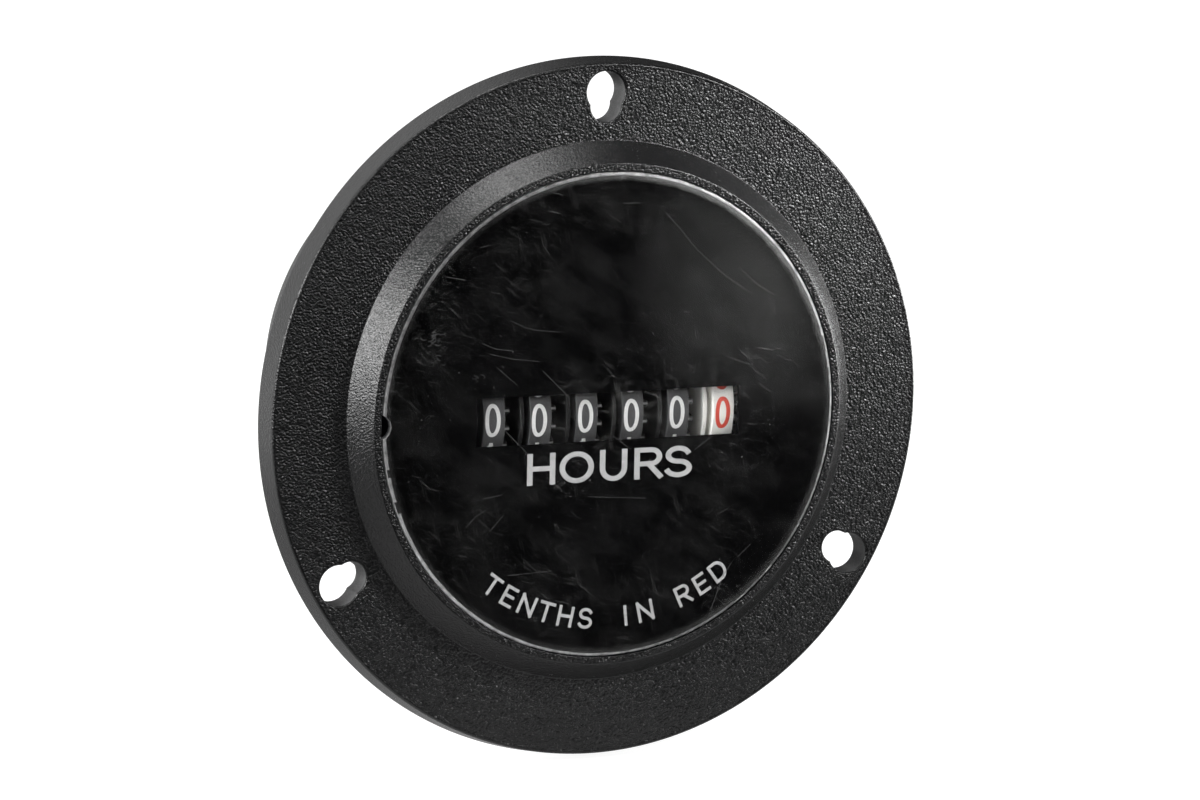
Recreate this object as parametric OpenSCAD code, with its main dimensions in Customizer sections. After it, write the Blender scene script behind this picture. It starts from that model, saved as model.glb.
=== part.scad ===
// Round panel hour meter with a six-wheel counter driven by a stepping motor.
// The panel plane is XZ at Y = 0, the dial faces -Y, and Z is up.

/* [Flange] */
// Diameter of the flange where it meets the panel
flange_d = 72; // [66:0.5:80]
// Thickness of the flange
flange_t = 3.1; // [2:0.1:5]
// How far the flange's rim leans in towards the front, on the radius
flange_draft = 0.45; // [0.1:0.05:0.5]
// Rounding of the flange's front edge
flange_round = 0.3; // [0.1:0.05:0.6]
// Number of mounting holes
hole_count = 3; // [3:1:6]
// Distance from the flange's edge in to the centre of each screw hole
hole_edge = 3.5; // [3.2:0.1:4.5]
// Diameter of each screw hole
hole_d = 4.4; // [4:0.1:4.6]
// Diameter of the smaller hole that overlaps each screw hole
relief_d = 3.1; // [2.6:0.1:3.4]
// Distance from the screw hole's centre inwards to the smaller hole's
relief_offset = 1.65; // [1.4:0.05:2]

/* [Boss] */
// Height of the boss above the flange
boss_h = 2.5; // [1.6:0.1:4]
// How much wider the boss is at its foot, on the radius
boss_draft = 1.95; // [0.5:0.05:2.6]
// Width of the flat ring around the lens
land_w = 0.85; // [0.5:0.05:1.2]
// Rounding of the boss's top edge
boss_round = 0.2; // [0.1:0.05:0.4]

/* [Barrel] */
// Outer diameter of the barrel behind the panel
barrel_d = 50.8; // [46:0.1:51.8]
// Wall of the barrel
barrel_wall = 1.6; // [1.2:0.1:1.9]
// Length of the barrel behind the panel
barrel_len = 27; // [24.5:0.5:36]

/* [Lens and dial] */
// Diameter of the lens
lens_d = 49.6; // [49:0.1:50.4]
// Thickness of the lens
lens_t = 1; // [0.6:0.1:1.6]
// How far the lens stands out of the boss
lens_proud = 0.15; // [0:0.05:0.4]
// Bevel around the front of the lens
lens_bevel = 0.3; // [0.1:0.05:0.4]
// Width of the moulding gate's notch in the lens edge
notch_w = 2.6; // [1:0.1:3]
// Depth of that notch
notch_depth = 0.9; // [0.3:0.1:1.2]
// Clearance around the lens and the dial in their seat
seat_clear = 0.1; // [0.05:0.05:0.3]
// Thickness of the dial plate
dial_t = 0.4; // [0.3:0.1:0.8]
// Width of the counter window
window_w = 28.9; // [28:0.1:30.5]
// Height of the counter window
window_h = 5; // [4:0.1:6]
// How far the window and the counter behind it sit below the meter's middle
counter_drop = 0.2; // [0:0.05:0.5]

/* [Number wheels] */
// Diameter of the number wheels
wheel_d = 13; // [12.4:0.1:13.6]
// Distance from one wheel to the next
wheel_pitch = 5.07; // [4.95:0.01:5.15]
// How far the row of wheels sits to the right of the window's middle
counter_shift = 0.42; // [0:0.01:0.5]
// Gap between the wheels and the dial plate
wheel_front_gap = 0.25; // [0.2:0.05:0.5]
// End play of each wheel
wheel_play = 0.1; // [0.05:0.01:0.2]
// Width of a number band
band_w = 2.35; // [2:0.05:2.5]
// Width of the tenths wheel's number band
tenths_band_w = 2.35; // [2.1:0.05:2.8]
// Width of the groove beside a band
groove_w = 0.55; // [0.3:0.05:0.6]
// Depth of that groove
groove_depth = 1.6; // [0.8:0.1:2]
// Width of the locking disc on each wheel's left
disc_w = 0.45; // [0.3:0.05:0.5]
// How far the locking disc's rim lies below the number band
disc_drop = 0.25; // [0.1:0.05:0.6]
// Width of the gear on each wheel's right
gear_w = 0.7; // [0.5:0.05:0.8]
// How far the gear's pitch circle lies below the number band
gear_drop = 0.9; // [0.8:0.05:1.2]
// Diameter of the wheels' hubs
hub_d = 4.4; // [3.6:0.1:5]
// Diameter of the wheel shaft
shaft_d = 2; // [1.6:0.1:2.4]
// Diameter of the transfer pinions' shaft
pinion_shaft_d = 1.5; // [1.2:0.1:1.5]
// Diameter of the transfer pinions' hubs
pinion_hub_d = 2.2; // [2.1:0.05:2.4]
// Radial clearance of whatever turns on a shaft or in a plate
run_clear = 0.05; // [0.02:0.01:0.08]

/* [Gear train] */
// Teeth of the transfer gear on each number wheel
transfer_teeth = 20; // [18:2:22]
// Teeth of the drive gear on the tenths wheel
drive_teeth = 32; // [32:1:34]
// Teeth of the reduction gear's large wheel
reducer_teeth = 60; // [56:1:60]
// Teeth of every pinion
pinion_teeth = 8; // [8:1:9]
// Tooth module between the rotor and the reduction gear
train_mod = 0.22; // [0.2:0.005:0.225]
// Width of the reduction gear's large wheel
reducer_w = 0.55; // [0.4:0.05:0.8]
// Diameter of the reduction gear's and rotor's arbors
arbor_d = 1; // [0.8:0.05:1.05]

/* [Motor] */
// Diameter of the rotor magnet
magnet_d = 3.2; // [2.6:0.1:3.4]
// Length of the rotor magnet
magnet_len = 2; // [1.4:0.1:2.4]
// Air gap around the rotor magnet
air_gap = 0.5; // [0.3:0.05:0.6]
// Thickness of the stator plate and of the coil core
stator_t = 1; // [0.8:0.05:1.2]
// Clearance between the coil and the circuit board
coil_clear = 0.6; // [0.3:0.1:1.2]
// Diameter of the bobbin's flanges
bobbin_d = 5.4; // [4.8:0.1:5.6]

/* [Frame and board] */
// Thickness of the frame's sheet metal
sheet_t = 0.8; // [0.6:0.05:1]
// Inner radius of the frame's bends
bend_r = 0.4; // [0.2:0.05:0.6]
// Distance of the frame's fixing screws from the middle
fixing_x = 9; // [8:0.1:10]
// Diameter of the fixing screws
screw_d = 2.2; // [2:0.1:2.5]
// Thickness of the circuit board
board_t = 1.6; // [1:0.1:2]
// Thickness of the rear cover
cover_t = 2; // [1.5:0.1:3]

/* [Terminals] */
// Width of each blade terminal
blade_w = 6.35; // [4.8:0.05:6.35]
// Thickness of each blade
blade_t = 0.8; // [0.5:0.1:1]
// Length of the blade behind the cover
blade_len = 8; // [6:0.5:10]
// Distance between the two blades
blade_spacing = 14; // [10:0.5:18]

/* [Hidden] */
$fn = 96;

// How far a cutter runs past the face it cuts
over = 1;
// Clearance between fixed pieces that slip into each other
slip = 0.05;

// Case, seen as a turned profile along the meter's axis
flange_r = flange_d / 2;
barrel_r = barrel_d / 2;
bore_r = barrel_r - barrel_wall;
hole_pcd = flange_d - 2 * hole_edge;
lens_r = lens_d / 2;
seat_r = lens_r + seat_clear;
boss_top_r = seat_r + land_w;
boss_foot_r = boss_top_r + boss_draft;
boss_y = -flange_t - boss_h;
lens_y = boss_y - lens_proud;
dial_y = lens_y + lens_t;
dial_back = dial_y + dial_t;
boss_lean = atan2(boss_draft, boss_h);
// Room between the bore and whatever stands inside it
bore_clear = 0.4;

// Places across the meter are [y, z] pairs
function polar(r, a) = [r * cos(a), r * sin(a)];
wheel_r = wheel_d / 2;
axle = [dial_back + wheel_front_gap + wheel_r, -counter_drop];

// Transfer pinions mesh with the transfer gears at a whole number of teeth from the front
transfer_pr = wheel_r - gear_drop;
transfer_mod = 2 * transfer_pr / transfer_teeth;
pinion_pr = transfer_mod * pinion_teeth / 2;
pinion_step = 7;
pinion_dir = 180 - pinion_step * 360 / transfer_teeth;
pinion_at = axle + polar(transfer_pr + pinion_pr, pinion_dir);
tip_share = 0.55;
pinion_tip_share = 0.8;
root_share = 1.15;

// The reduction gear turns the tenths wheel, and the rotor turns the reduction gear
drive_mod = 2 * transfer_pr / drive_teeth;
drive_pinion_pr = drive_mod * pinion_teeth / 2;
reducer_dir = -20;
reducer_at = axle + polar(transfer_pr + drive_pinion_pr, reducer_dir);
reducer_pr = train_mod * reducer_teeth / 2;
rotor_pinion_pr = train_mod * pinion_teeth / 2;
rotor_dir = -75;
rotor_at = reducer_at + polar(reducer_pr + rotor_pinion_pr, rotor_dir);

// Places along the wheel shaft
wheel_count = 6;
function wheel_x(i) = (i - (wheel_count - 1) / 2) * wheel_pitch + counter_shift;
tenths_x = wheel_x(wheel_count - 1);
wheel_left = band_w / 2 + groove_w + disc_w;
drive_x = tenths_x + tenths_band_w / 2;
plate_gap = 0.4;
plate_x = drive_x + gear_w + plate_gap;
plate_out = plate_x + sheet_t;
train_gap = 0.3;
train_x = plate_out + train_gap;
bridge_gap = 0.3;
bridge_x = train_x + reducer_w + bridge_gap;
tooth_overlap = 0.1;

// Frame: a top plate with two side plates bent down and two ears bent up
frame_back_off = 1.4;
frame_front = dial_back + frame_back_off;
frame_gap = 0.5;
frame_under = pinion_at[1] + pinion_pr + pinion_tip_share * transfer_mod + frame_gap;
frame_top = frame_under + sheet_t;
ear_behind = 4;
ear_y = pinion_at[0] + ear_behind;
frame_back = ear_y + sheet_t;
ear_w = 6;
ear_h = 7.2;
ear_round = 1.5;
fixing_lift = 0.6;
fixing = [fixing_x, frame_top + ear_h / 2 + fixing_lift];
lug_front = axle[0];
lug_gap = 0.4;
screw_len = 6;

// Circuit board and rear cover
board_stand = 2.4;
board_back = barrel_len - board_stand;
board_y = board_back - board_t;
board_edge_gap = 1.4;
board_r = bore_r - board_edge_gap;
board_flat = plate_out;
stand_d = 5;
stand_edge = 0.6;
stand_at = board_r - stand_d / 2 - stand_edge;
stand_angles = [75, 165, 255];
board_screw_bite = 2;
cover_spigot = 2;
cover_spigot_wall = 1.5;
cover_chamfer = 0.6;
cover_inset = 0.6;
cover_r = barrel_r - cover_inset;
pad_h = 1.2;
pad_margin = 2.2;
tail_w = 2;
tail_reach = 0.8;
blade_taper = 1.3;
blade_hole_d = 1.6;

// Motor, hung from the right side plate
stator_gap = 3.5;
stator_x = plate_x - stator_gap - stator_t;
stator_hole_r = magnet_d / 2 + air_gap;
pole_wall = 1;
pole_half = stator_hole_r + pole_wall;
arm_w = 2;
arm_out = pole_half + arm_w;
coil_x = stator_x + 1.5 * stator_t;
core_w = 2.4;
bobbin_wall = 0.4;
bobbin_r = bobbin_d / 2;
coil_y = board_y - coil_clear - bobbin_r;
bobbin_flange_t = 0.6;
bobbin_core_r = norm([core_w, stator_t]) / 2 + bobbin_wall;
bobbin_end_gap = 0.2;
bobbin_half = pole_half - bobbin_end_gap;
winding_drop = 0.2;
post_d = 1.8;
post_front = 1.5;
post_gap = 2.1;
posts = [[rotor_at[0] - post_front, rotor_at[1] - pole_half - arm_w / 2],
         [coil_y - core_w / 2 - post_gap - post_d / 2, rotor_at[1] + pole_half + arm_w / 2]];
rotor_bridge_t = 0.6;
rotor_bridge_gap = 0.5;
rotor_bridge_x = stator_x + stator_t / 2 - magnet_len / 2 - rotor_bridge_gap - rotor_bridge_t;
bridge_foot = 0.9;

// Gear bridge outside the right plate, on pillars around the reduction gear's rim
pillar_d = 2.4;
pillar_screw_d = pillar_d / 2;
pillar_dirs = [195, 228, 350];
pillar_ring = reducer_pr + tip_share * train_mod + train_gap + pillar_d / 2;
pillars = [for (a = pillar_dirs) reducer_at + polar(pillar_ring, a)];
bridge_edge = 0.8;
bridge_margin = pillar_d / 2 + bridge_edge;
spoke_holes = 5;
spoke_hole_share = 0.4;
spoke_ring_share = 0.55;

// Turns a shape drawn in XZ to face the viewer, with its height towards -Y
module facing(y) {
    translate([0, y, 0]) rotate([90, 0, 0]) children();
}

// Turns a shape drawn in YZ so that its height runs along +X
module across(x) {
    translate([x, 0, 0]) rotate([90, 0, 90]) children();
}

module rod(at, x0, x1, d) {
    across(x0) translate(at) cylinder(d = d, h = x1 - x0);
}

// Points of an arc, for rounding a profile
arc_steps = 4;
bend_steps = 6;
function arc(centre, r, a0, a1, steps = arc_steps) =
    [for (i = [0:steps]) centre + polar(r, a0 + (a1 - a0) * i / steps)];

// Involute gear outline with a tooth on the angle given by phase
pressure = 20;
tooth_fill = 0.86;
function inv(a) = tan(a) * 180 / PI - a;
function flank(r, base, pitch_half) =
    pitch_half + inv(pressure) - (r > base ? inv(acos(base / r)) : 0);
function gear_points(teeth, mod, tip, phase) =
    let (pr = teeth * mod / 2, base = pr * cos(pressure), root = pr - root_share * mod,
         radii = teeth > 15 ? [root, pr + tip * mod] : [root, base, pr, pr + tip * mod],
         last = len(radii) - 1, half = tooth_fill * 90 / teeth)
    [for (i = [0:teeth - 1], j = [0:2 * last + 1])
        let (r = j <= last ? radii[j] : radii[2 * last + 1 - j],
             side = j <= last ? -1 : 1)
        polar(r, phase + i * 360 / teeth + side * flank(r, base, half))];

module gear(at, x0, w, teeth, mod, tip, phase) {
    across(x0) translate(at) linear_extrude(w) polygon(gear_points(teeth, mod, tip, phase));
}

// Upright outline with a flat top and rounded top corners
module arch(half, low, top, r) {
    polygon(concat([[-half, low], [half, low]], arc([half - r, top - r], r, 0, 90, bend_steps),
                   arc([r - half, top - r], r, 90, 180, bend_steps)));
}

module case() {
    profile = concat(
        [[bore_r, -barrel_len], [barrel_r, -barrel_len], [barrel_r, 0], [flange_r, 0]],
        arc([flange_r - flange_draft - flange_round, flange_t - flange_round], flange_round, 0, 90),
        [[boss_foot_r, flange_t]],
        arc([boss_top_r - boss_round, -boss_y - boss_round], boss_round, boss_lean, 90),
        [[seat_r, -boss_y], [seat_r, -dial_back], [bore_r, -dial_back]]);
    hole_cut = flange_t + boss_h + 2 * over;
    color([0.16, 0.16, 0.17]) difference() {
        union() {
            facing(0) rotate_extrude($fn = 256) polygon(profile);
            case_lugs();
        }
        for (i = [0:hole_count - 1]) facing(over) rotate(90 + i * 360 / hole_count) {
            translate([hole_pcd / 2, 0]) cylinder(d = hole_d, h = hole_cut);
            translate([hole_pcd / 2 - relief_offset, 0]) cylinder(d = relief_d, h = hole_cut);
        }
        for (side = [-1, 1]) translate([side * fixing[0], 0, fixing[1]])
            facing(ear_y + over) cylinder(d = screw_d + 2 * slip, h = screw_len + 2 * over);
    }
}

// Blocks inside the barrel that carry the counter frame
module case_lugs() {
    intersection() {
        for (side = [-1, 1]) translate([side * fixing[0] - ear_w / 2, lug_front, frame_top + lug_gap])
            cube([ear_w, ear_y - lug_front, barrel_r]);
        facing(ear_y) cylinder(r = bore_r + barrel_wall / 2, h = ear_y - lug_front, $fn = 256);
    }
}

module lens() {
    color([0.8, 0.85, 0.87, 0.3]) difference() {
        facing(dial_y) rotate_extrude($fn = 256) polygon([
            [0, 0], [lens_r, 0], [lens_r, lens_t - lens_bevel],
            [lens_r - lens_bevel, lens_t], [0, lens_t]]);
        translate([-lens_r - notch_w / 2 + notch_depth, 0, 0])
            facing(dial_y + over) cylinder(d = notch_w, h = lens_t + 2 * over);
    }
}

module dial_plate() {
    color([0.05, 0.05, 0.06]) difference() {
        facing(dial_back) cylinder(r = lens_r, h = dial_t, $fn = 256);
        translate([-window_w / 2, dial_y - over, -counter_drop - window_h / 2])
            cube([window_w, dial_t + 2 * over, window_h]);
    }
}

// Outlines of the two side plates, drawn in YZ, with the top plate's depth above them
module left_side() {
    low = axle[1] - wheel_r;
    polygon([[frame_front, frame_top], [frame_front, low + wheel_r / 2], [axle[0] - shaft_d / 2, low],
             [axle[0] + wheel_r / 2, low], [frame_back, axle[1]], [frame_back, frame_top]]);
}

module right_side() {
    low = rotor_at[1] - arm_out;
    back = coil_y + core_w / 2;
    polygon([[frame_front, frame_top], [frame_front, pillars[0][1] - bridge_margin],
             [posts[0][0] - pole_half, low], [back, low], [back, reducer_at[1]],
             [frame_back, frame_under - bend_r], [frame_back, frame_top]]);
}

// The bent sheet seen from the front: a top plate with both side plates folded down from it
module frame_section() {
    low = rotor_at[1] - arm_out;
    difference() {
        arch(plate_out, low, frame_top, bend_r + sheet_t);
        arch(plate_x, low - over, frame_under, bend_r);
    }
}

module frame_sheet() {
    depth = coil_y + core_w - frame_front;
    intersection() {
        facing(frame_front + depth) linear_extrude(depth) frame_section();
        union() {
            across(-plate_out) linear_extrude(plate_out) left_side();
            across(0) linear_extrude(plate_out) right_side();
        }
        facing(frame_front + depth) cylinder(r = bore_r - bore_clear, h = depth);
    }
    for (side = [-1, 1]) translate([side * fixing[0], 0, 0])
        facing(frame_back) linear_extrude(sheet_t)
            arch(ear_w / 2, frame_under, frame_top + ear_h, ear_round);
}

module counter_frame() {
    color([0.7, 0.7, 0.68]) difference() {
        frame_sheet();
        for (side = [-1, 1]) translate([side * fixing[0], 0, fixing[1]])
            facing(frame_back + over) cylinder(d = screw_d + 4 * slip, h = sheet_t + 2 * over);
        rod(axle, -plate_out - over, plate_out + over, shaft_d + 2 * slip);
        rod(pinion_at, -plate_out - over, plate_out + over, pinion_shaft_d + 2 * slip);
        for (p = [reducer_at, rotor_at]) rod(p, plate_x - over, plate_out + over, arbor_d + 2 * run_clear);
    }
}

module frame_screws() {
    color([0.75, 0.75, 0.75]) for (side = [-1, 1]) translate([side * fixing[0], 0, fixing[1]])
        pan_screw(frame_back);
}

// Slotted screw seen from behind: its head sits on the face at y, and its shank points to -Y
screw_head_r = 2.2;
screw_head_crown = 1.65;
screw_head_h = 1.3;
screw_slot = 0.6;
module pan_screw(y) {
    facing(y) cylinder(d = screw_d, h = screw_len);
    difference() {
        facing(y + screw_head_h) cylinder(r1 = screw_head_crown, r2 = screw_head_r, h = screw_head_h);
        translate([-screw_head_r, y + screw_head_h / 2, -screw_slot / 2])
            cube([2 * screw_head_r, screw_head_h, screw_slot]);
    }
}

// Spindles riveted flush on the right and grooved for a clip on the left
clip_t = 0.4;
clip_end = 0.5;
clip_groove = 0.7;
clip_share = 2.2;
module spindle(at, d) {
    difference() {
        rod(at, -plate_out - clip_t - clip_end, plate_out, d);
        across(-plate_out - clip_t) translate(at) difference() {
            cylinder(d = d + over, h = clip_t);
            translate([0, 0, -over]) cylinder(d = clip_groove * d, h = clip_t + 2 * over);
        }
    }
}

module wheel_shaft() {
    color([0.78, 0.78, 0.8]) spindle(axle, shaft_d);
}

module pinion_shaft() {
    color([0.78, 0.78, 0.8]) spindle(pinion_at, pinion_shaft_d);
}

module clip(at, d) {
    across(-plate_out - clip_t) translate(at) linear_extrude(clip_t) difference() {
        neck = clip_groove * d + 2 * slip;
        circle(d = clip_share * d);
        circle(d = neck);
        translate([-neck / 2, 0]) square([neck, clip_share * d]);
    }
}

module shaft_clips() {
    color([0.5, 0.5, 0.52]) {
        clip(axle, shaft_d);
        clip(pinion_at, pinion_shaft_d);
    }
}

// One number wheel: locking disc with its carry notch, groove, number band and gear on one hub
carry_d = 2.2;
carry_dir = pinion_dir - 360 / transfer_teeth;
module number_wheel(i, band, teeth, phase) {
    x = wheel_x(i);
    mod = 2 * transfer_pr / teeth;
    left = i == 0 ? -plate_x + wheel_play : x - wheel_left;
    right = i == wheel_count - 1 ? plate_x - wheel_play : x + wheel_pitch - wheel_left - wheel_play;
    difference() {
        union() {
            rod(axle, left, right, hub_d);
            locking_disc(x - wheel_left, i > 0);
            rod(axle, x - wheel_left, x, 2 * (wheel_r - groove_depth));
            rod(axle, x - band / 2, x + band / 2, wheel_d);
            gear(axle, x, band / 2 + gear_w, teeth, mod, tip_share, phase);
        }
        rod(axle, left - over, right + over, shaft_d + 2 * run_clear);
    }
}

module locking_disc(x, carries) {
    difference() {
        rod(axle, x, x + disc_w, 2 * (wheel_r - disc_drop));
        if (carries) rod(axle + polar(wheel_r - disc_drop, carry_dir), x - over, x + disc_w + over, carry_d);
    }
}

module counting_wheel(i) {
    color([0.2, 0.2, 0.21]) number_wheel(i, band_w, transfer_teeth, pinion_dir + 180 / transfer_teeth);
}

module ten_thousands_wheel() { counting_wheel(0); }
module thousands_wheel() { counting_wheel(1); }
module hundreds_wheel() { counting_wheel(2); }
module tens_wheel() { counting_wheel(3); }
module units_wheel() { counting_wheel(4); }
module tenths_wheel() {
    color([0.93, 0.92, 0.88])
        number_wheel(wheel_count - 1, tenths_band_w, drive_teeth, reducer_dir + 180 / drive_teeth);
}

// Pinion between wheel i and the wheel on its right, spaced along the shaft by its hub
module transfer_pinion(i) {
    x0 = wheel_x(i) + band_w / 2 + tooth_overlap;
    x1 = wheel_x(i) + wheel_pitch - wheel_left - tooth_overlap;
    left = i == 0 ? -plate_x + wheel_play : x0;
    right = i == wheel_count - 2 ? plate_x - wheel_play : x0 + wheel_pitch - wheel_play;
    color([0.85, 0.8, 0.65]) difference() {
        union() {
            rod(pinion_at, left, right, pinion_hub_d);
            gear(pinion_at, x0, x1 - x0, pinion_teeth, transfer_mod, pinion_tip_share, pinion_dir + 180);
        }
        rod(pinion_at, left - over, right + over, pinion_shaft_d + 2 * run_clear);
    }
}

module transfer_pinion_1() { transfer_pinion(0); }
module transfer_pinion_2() { transfer_pinion(1); }
module transfer_pinion_3() { transfer_pinion(2); }
module transfer_pinion_4() { transfer_pinion(3); }
module transfer_pinion_5() { transfer_pinion(4); }

// Large wheel outside the right plate and a pinion inside it, on one arbor
module reduction_gear() {
    color([0.85, 0.8, 0.65]) {
        rod(reducer_at, drive_x + tooth_overlap, bridge_x + sheet_t, arbor_d);
        gear(reducer_at, drive_x + tooth_overlap, gear_w - tooth_overlap, pinion_teeth, drive_mod,
             pinion_tip_share, reducer_dir + 180);
        difference() {
            gear(reducer_at, train_x, reducer_w, reducer_teeth, train_mod,
                 tip_share, rotor_dir + 180 / reducer_teeth);
            for (i = [0:spoke_holes - 1])
                rod(reducer_at + polar(reducer_pr * spoke_ring_share, i * 360 / spoke_holes),
                    train_x - over, train_x + reducer_w + over, reducer_pr * spoke_hole_share);
        }
    }
}

module rotor_arbor() {
    color([0.8, 0.7, 0.4]) {
        rod(rotor_at, rotor_bridge_x, bridge_x + sheet_t, arbor_d);
        gear(rotor_at, train_x - tooth_overlap, reducer_w + 2 * tooth_overlap, pinion_teeth, train_mod,
             pinion_tip_share, rotor_dir + 180);
    }
}

module rotor_magnet() {
    middle = stator_x + stator_t / 2;
    color([0.3, 0.3, 0.33]) difference() {
        rod(rotor_at, middle - magnet_len / 2, middle + magnet_len / 2, magnet_d);
        rod(rotor_at, middle - magnet_len, middle + magnet_len, arbor_d + 2 * slip);
    }
}

// Outer plate of the gear train
module train_bridge() {
    color([0.8, 0.72, 0.45]) difference() {
        intersection() {
            across(bridge_x) linear_extrude(sheet_t) polygon([
                pillars[0] + [-bridge_margin, bridge_margin], reducer_at + [0, bridge_margin],
                pillars[2] + [bridge_margin, bridge_margin], pillars[2] + [bridge_margin, -bridge_margin],
                rotor_at + [bridge_margin, -bridge_margin], pillars[1] + [-bridge_margin, -bridge_margin],
                pillars[0] + [-bridge_margin, -bridge_margin]]);
            facing(board_y) cylinder(r = bore_r - bore_clear, h = board_y - dial_back);
        }
        for (p = [reducer_at, rotor_at])
            rod(p, bridge_x - over, bridge_x + sheet_t + over, arbor_d + 2 * run_clear);
        for (p = pillars) rod(p, bridge_x - over, bridge_x + sheet_t + over, pillar_screw_d + 2 * slip);
    }
}

module train_pillars() {
    color([0.8, 0.8, 0.8]) for (p = pillars) difference() {
        rod(p, plate_out, bridge_x, pillar_d);
        rod(p, plate_out - over, bridge_x + over, pillar_screw_d + 2 * slip);
    }
}

module train_screws() {
    color([0.75, 0.75, 0.75]) for (p = pillars) {
        rod(p, plate_out, bridge_x + sheet_t, pillar_screw_d);
        rod(p, bridge_x + sheet_t, bridge_x + sheet_t + pillar_screw_d / 2, pillar_d);
    }
}

// Inner bearing of the rotor, standing on the stator on two feet
module rotor_bridge() {
    half = pole_half - bobbin_end_gap;
    color([0.8, 0.72, 0.45]) difference() {
        translate([rotor_bridge_x, rotor_at[0] - arbor_d, rotor_at[1]]) {
            translate([0, 0, -half]) cube([rotor_bridge_t, 2 * arbor_d, 2 * half]);
            for (foot = [-half, half - bridge_foot]) translate([0, 0, foot])
                cube([stator_x - rotor_bridge_x, 2 * arbor_d, bridge_foot]);
        }
        rod(rotor_at, rotor_bridge_x - over, stator_x + over, arbor_d + 2 * run_clear);
    }
}

// Pole plate around the rotor with two arms that run back to the coil
module stator() {
    arm_end = coil_y + core_w / 2 - rotor_at[0];
    outline = [[-pole_half, -arm_out], [arm_end, -arm_out], [arm_end, -pole_half], [pole_half, -pole_half],
               [pole_half, pole_half], [arm_end, pole_half], [arm_end, arm_out], [-pole_half / 2, arm_out],
               [-pole_half, pole_half]];
    color([0.6, 0.6, 0.62]) across(stator_x) translate(rotor_at) linear_extrude(stator_t) difference() {
        polygon(outline);
        circle(r = stator_hole_r);
    }
}

module stator_posts() {
    color([0.8, 0.7, 0.4]) for (p = posts) rod(p, stator_x + stator_t, plate_x, post_d);
}

module coil_core() {
    color([0.6, 0.6, 0.62]) translate([stator_x + stator_t, coil_y - core_w / 2, rotor_at[1] - arm_out])
        cube([stator_t, core_w, 2 * arm_out]);
}

// Turns a shape about the coil's upright axis
module on_coil(z) {
    translate([coil_x, coil_y, rotor_at[1] + z]) children();
}

module coil_bobbin() {
    color([0.9, 0.88, 0.8]) difference() {
        union() {
            on_coil(-bobbin_half) cylinder(r = bobbin_core_r, h = 2 * bobbin_half);
            on_coil(-bobbin_half) cylinder(r = bobbin_r, h = bobbin_flange_t);
            on_coil(bobbin_half - bobbin_flange_t) cylinder(r = bobbin_r, h = bobbin_flange_t);
        }
        on_coil(-bobbin_half - over) translate([-stator_t / 2 - slip, -core_w / 2 - slip, 0])
            cube([stator_t + 2 * slip, core_w + 2 * slip, 2 * bobbin_half + 2 * over]);
    }
}

module coil_winding() {
    half = bobbin_half - bobbin_flange_t;
    color([0.72, 0.38, 0.18]) on_coil(-half) difference() {
        cylinder(r = bobbin_r - winding_drop, h = 2 * half);
        translate([0, 0, -over]) cylinder(r = bobbin_core_r, h = 2 * half + 2 * over);
    }
}

// Places its children at each of the cover's standoffs
module at_stands() {
    for (a = stand_angles) rotate([0, -a, 0]) translate([stand_at, 0, 0]) children();
}

module circuit_board() {
    color([0.1, 0.35, 0.2]) difference() {
        intersection() {
            facing(board_back) cylinder(r = board_r, h = board_t);
            translate([-board_r, board_y, -board_r]) cube([board_r + board_flat, board_t, 2 * board_r]);
        }
        at_stands() facing(board_back + over) cylinder(d = screw_d + 4 * slip, h = board_t + 2 * over);
        for (side = [-1, 1]) translate([side * blade_spacing / 2, 0, 0])
            translate([-blade_t / 2 - slip, board_y - over, -tail_w / 2 - slip])
                cube([blade_t + 2 * slip, board_t + 2 * over, tail_w + 2 * slip]);
    }
}

// Parts soldered to the front of the board
chip_size = [5, 1.4, 3.8];
chip_at = [-1, 5];
chip_stand = 0.2;
leg_count = 4;
leg_pitch = 1.27;
leg_w = 0.4;
leg_t = 0.2;
leg_out = 1;
lead_d = 0.5;
crystal_d = 3;
crystal_len = 8;
crystal_at = [-2, -6];
crystal_lead_gap = 1.1;
crystal_lead_len = 1.6;
cap_d = 6.3;
cap_len = 7.5;
cap_crimp = 0.3;
cap_crimp_at = 1.2;
cap_edge = 7.6;
cap_dir = 152;
cap_at = polar(board_r - cap_edge, cap_dir);
diode_d = 2.4;
diode_len = 4.2;
diode_lead_len = 1.8;
diode_edge = 8.8;
diode_dir = 197;
diode_at = polar(board_r - diode_edge, diode_dir);

// Moulded body on two rows of bent legs
module timer_chip() {
    color([0.1, 0.1, 0.1]) translate([chip_at[0], board_y, chip_at[1]]) {
        translate([-chip_size[0] / 2, -chip_stand - chip_size[1], -chip_size[2] / 2]) cube(chip_size);
        for (i = [0:leg_count - 1], side = [-1, 1])
            translate([(i - (leg_count - 1) / 2) * leg_pitch, 0, side * chip_size[2] / 2]) chip_leg(side);
    }
}

// Flat out of the body, down, and out along the board
module chip_leg(side) {
    rise = chip_stand + chip_size[1] / 2;
    knee = (leg_out - leg_t) / 2;
    outline = [[leg_t / 2 - rise, 0], [-rise - leg_t / 2, 0], [-rise - leg_t / 2, knee + leg_t],
               [-leg_t, knee + leg_t], [-leg_t, leg_out], [0, leg_out], [0, knee],
               [leg_t / 2 - rise, knee]];
    across(-leg_w / 2) linear_extrude(leg_w) polygon([for (p = outline) [p[0], side * p[1]]]);
}

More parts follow.
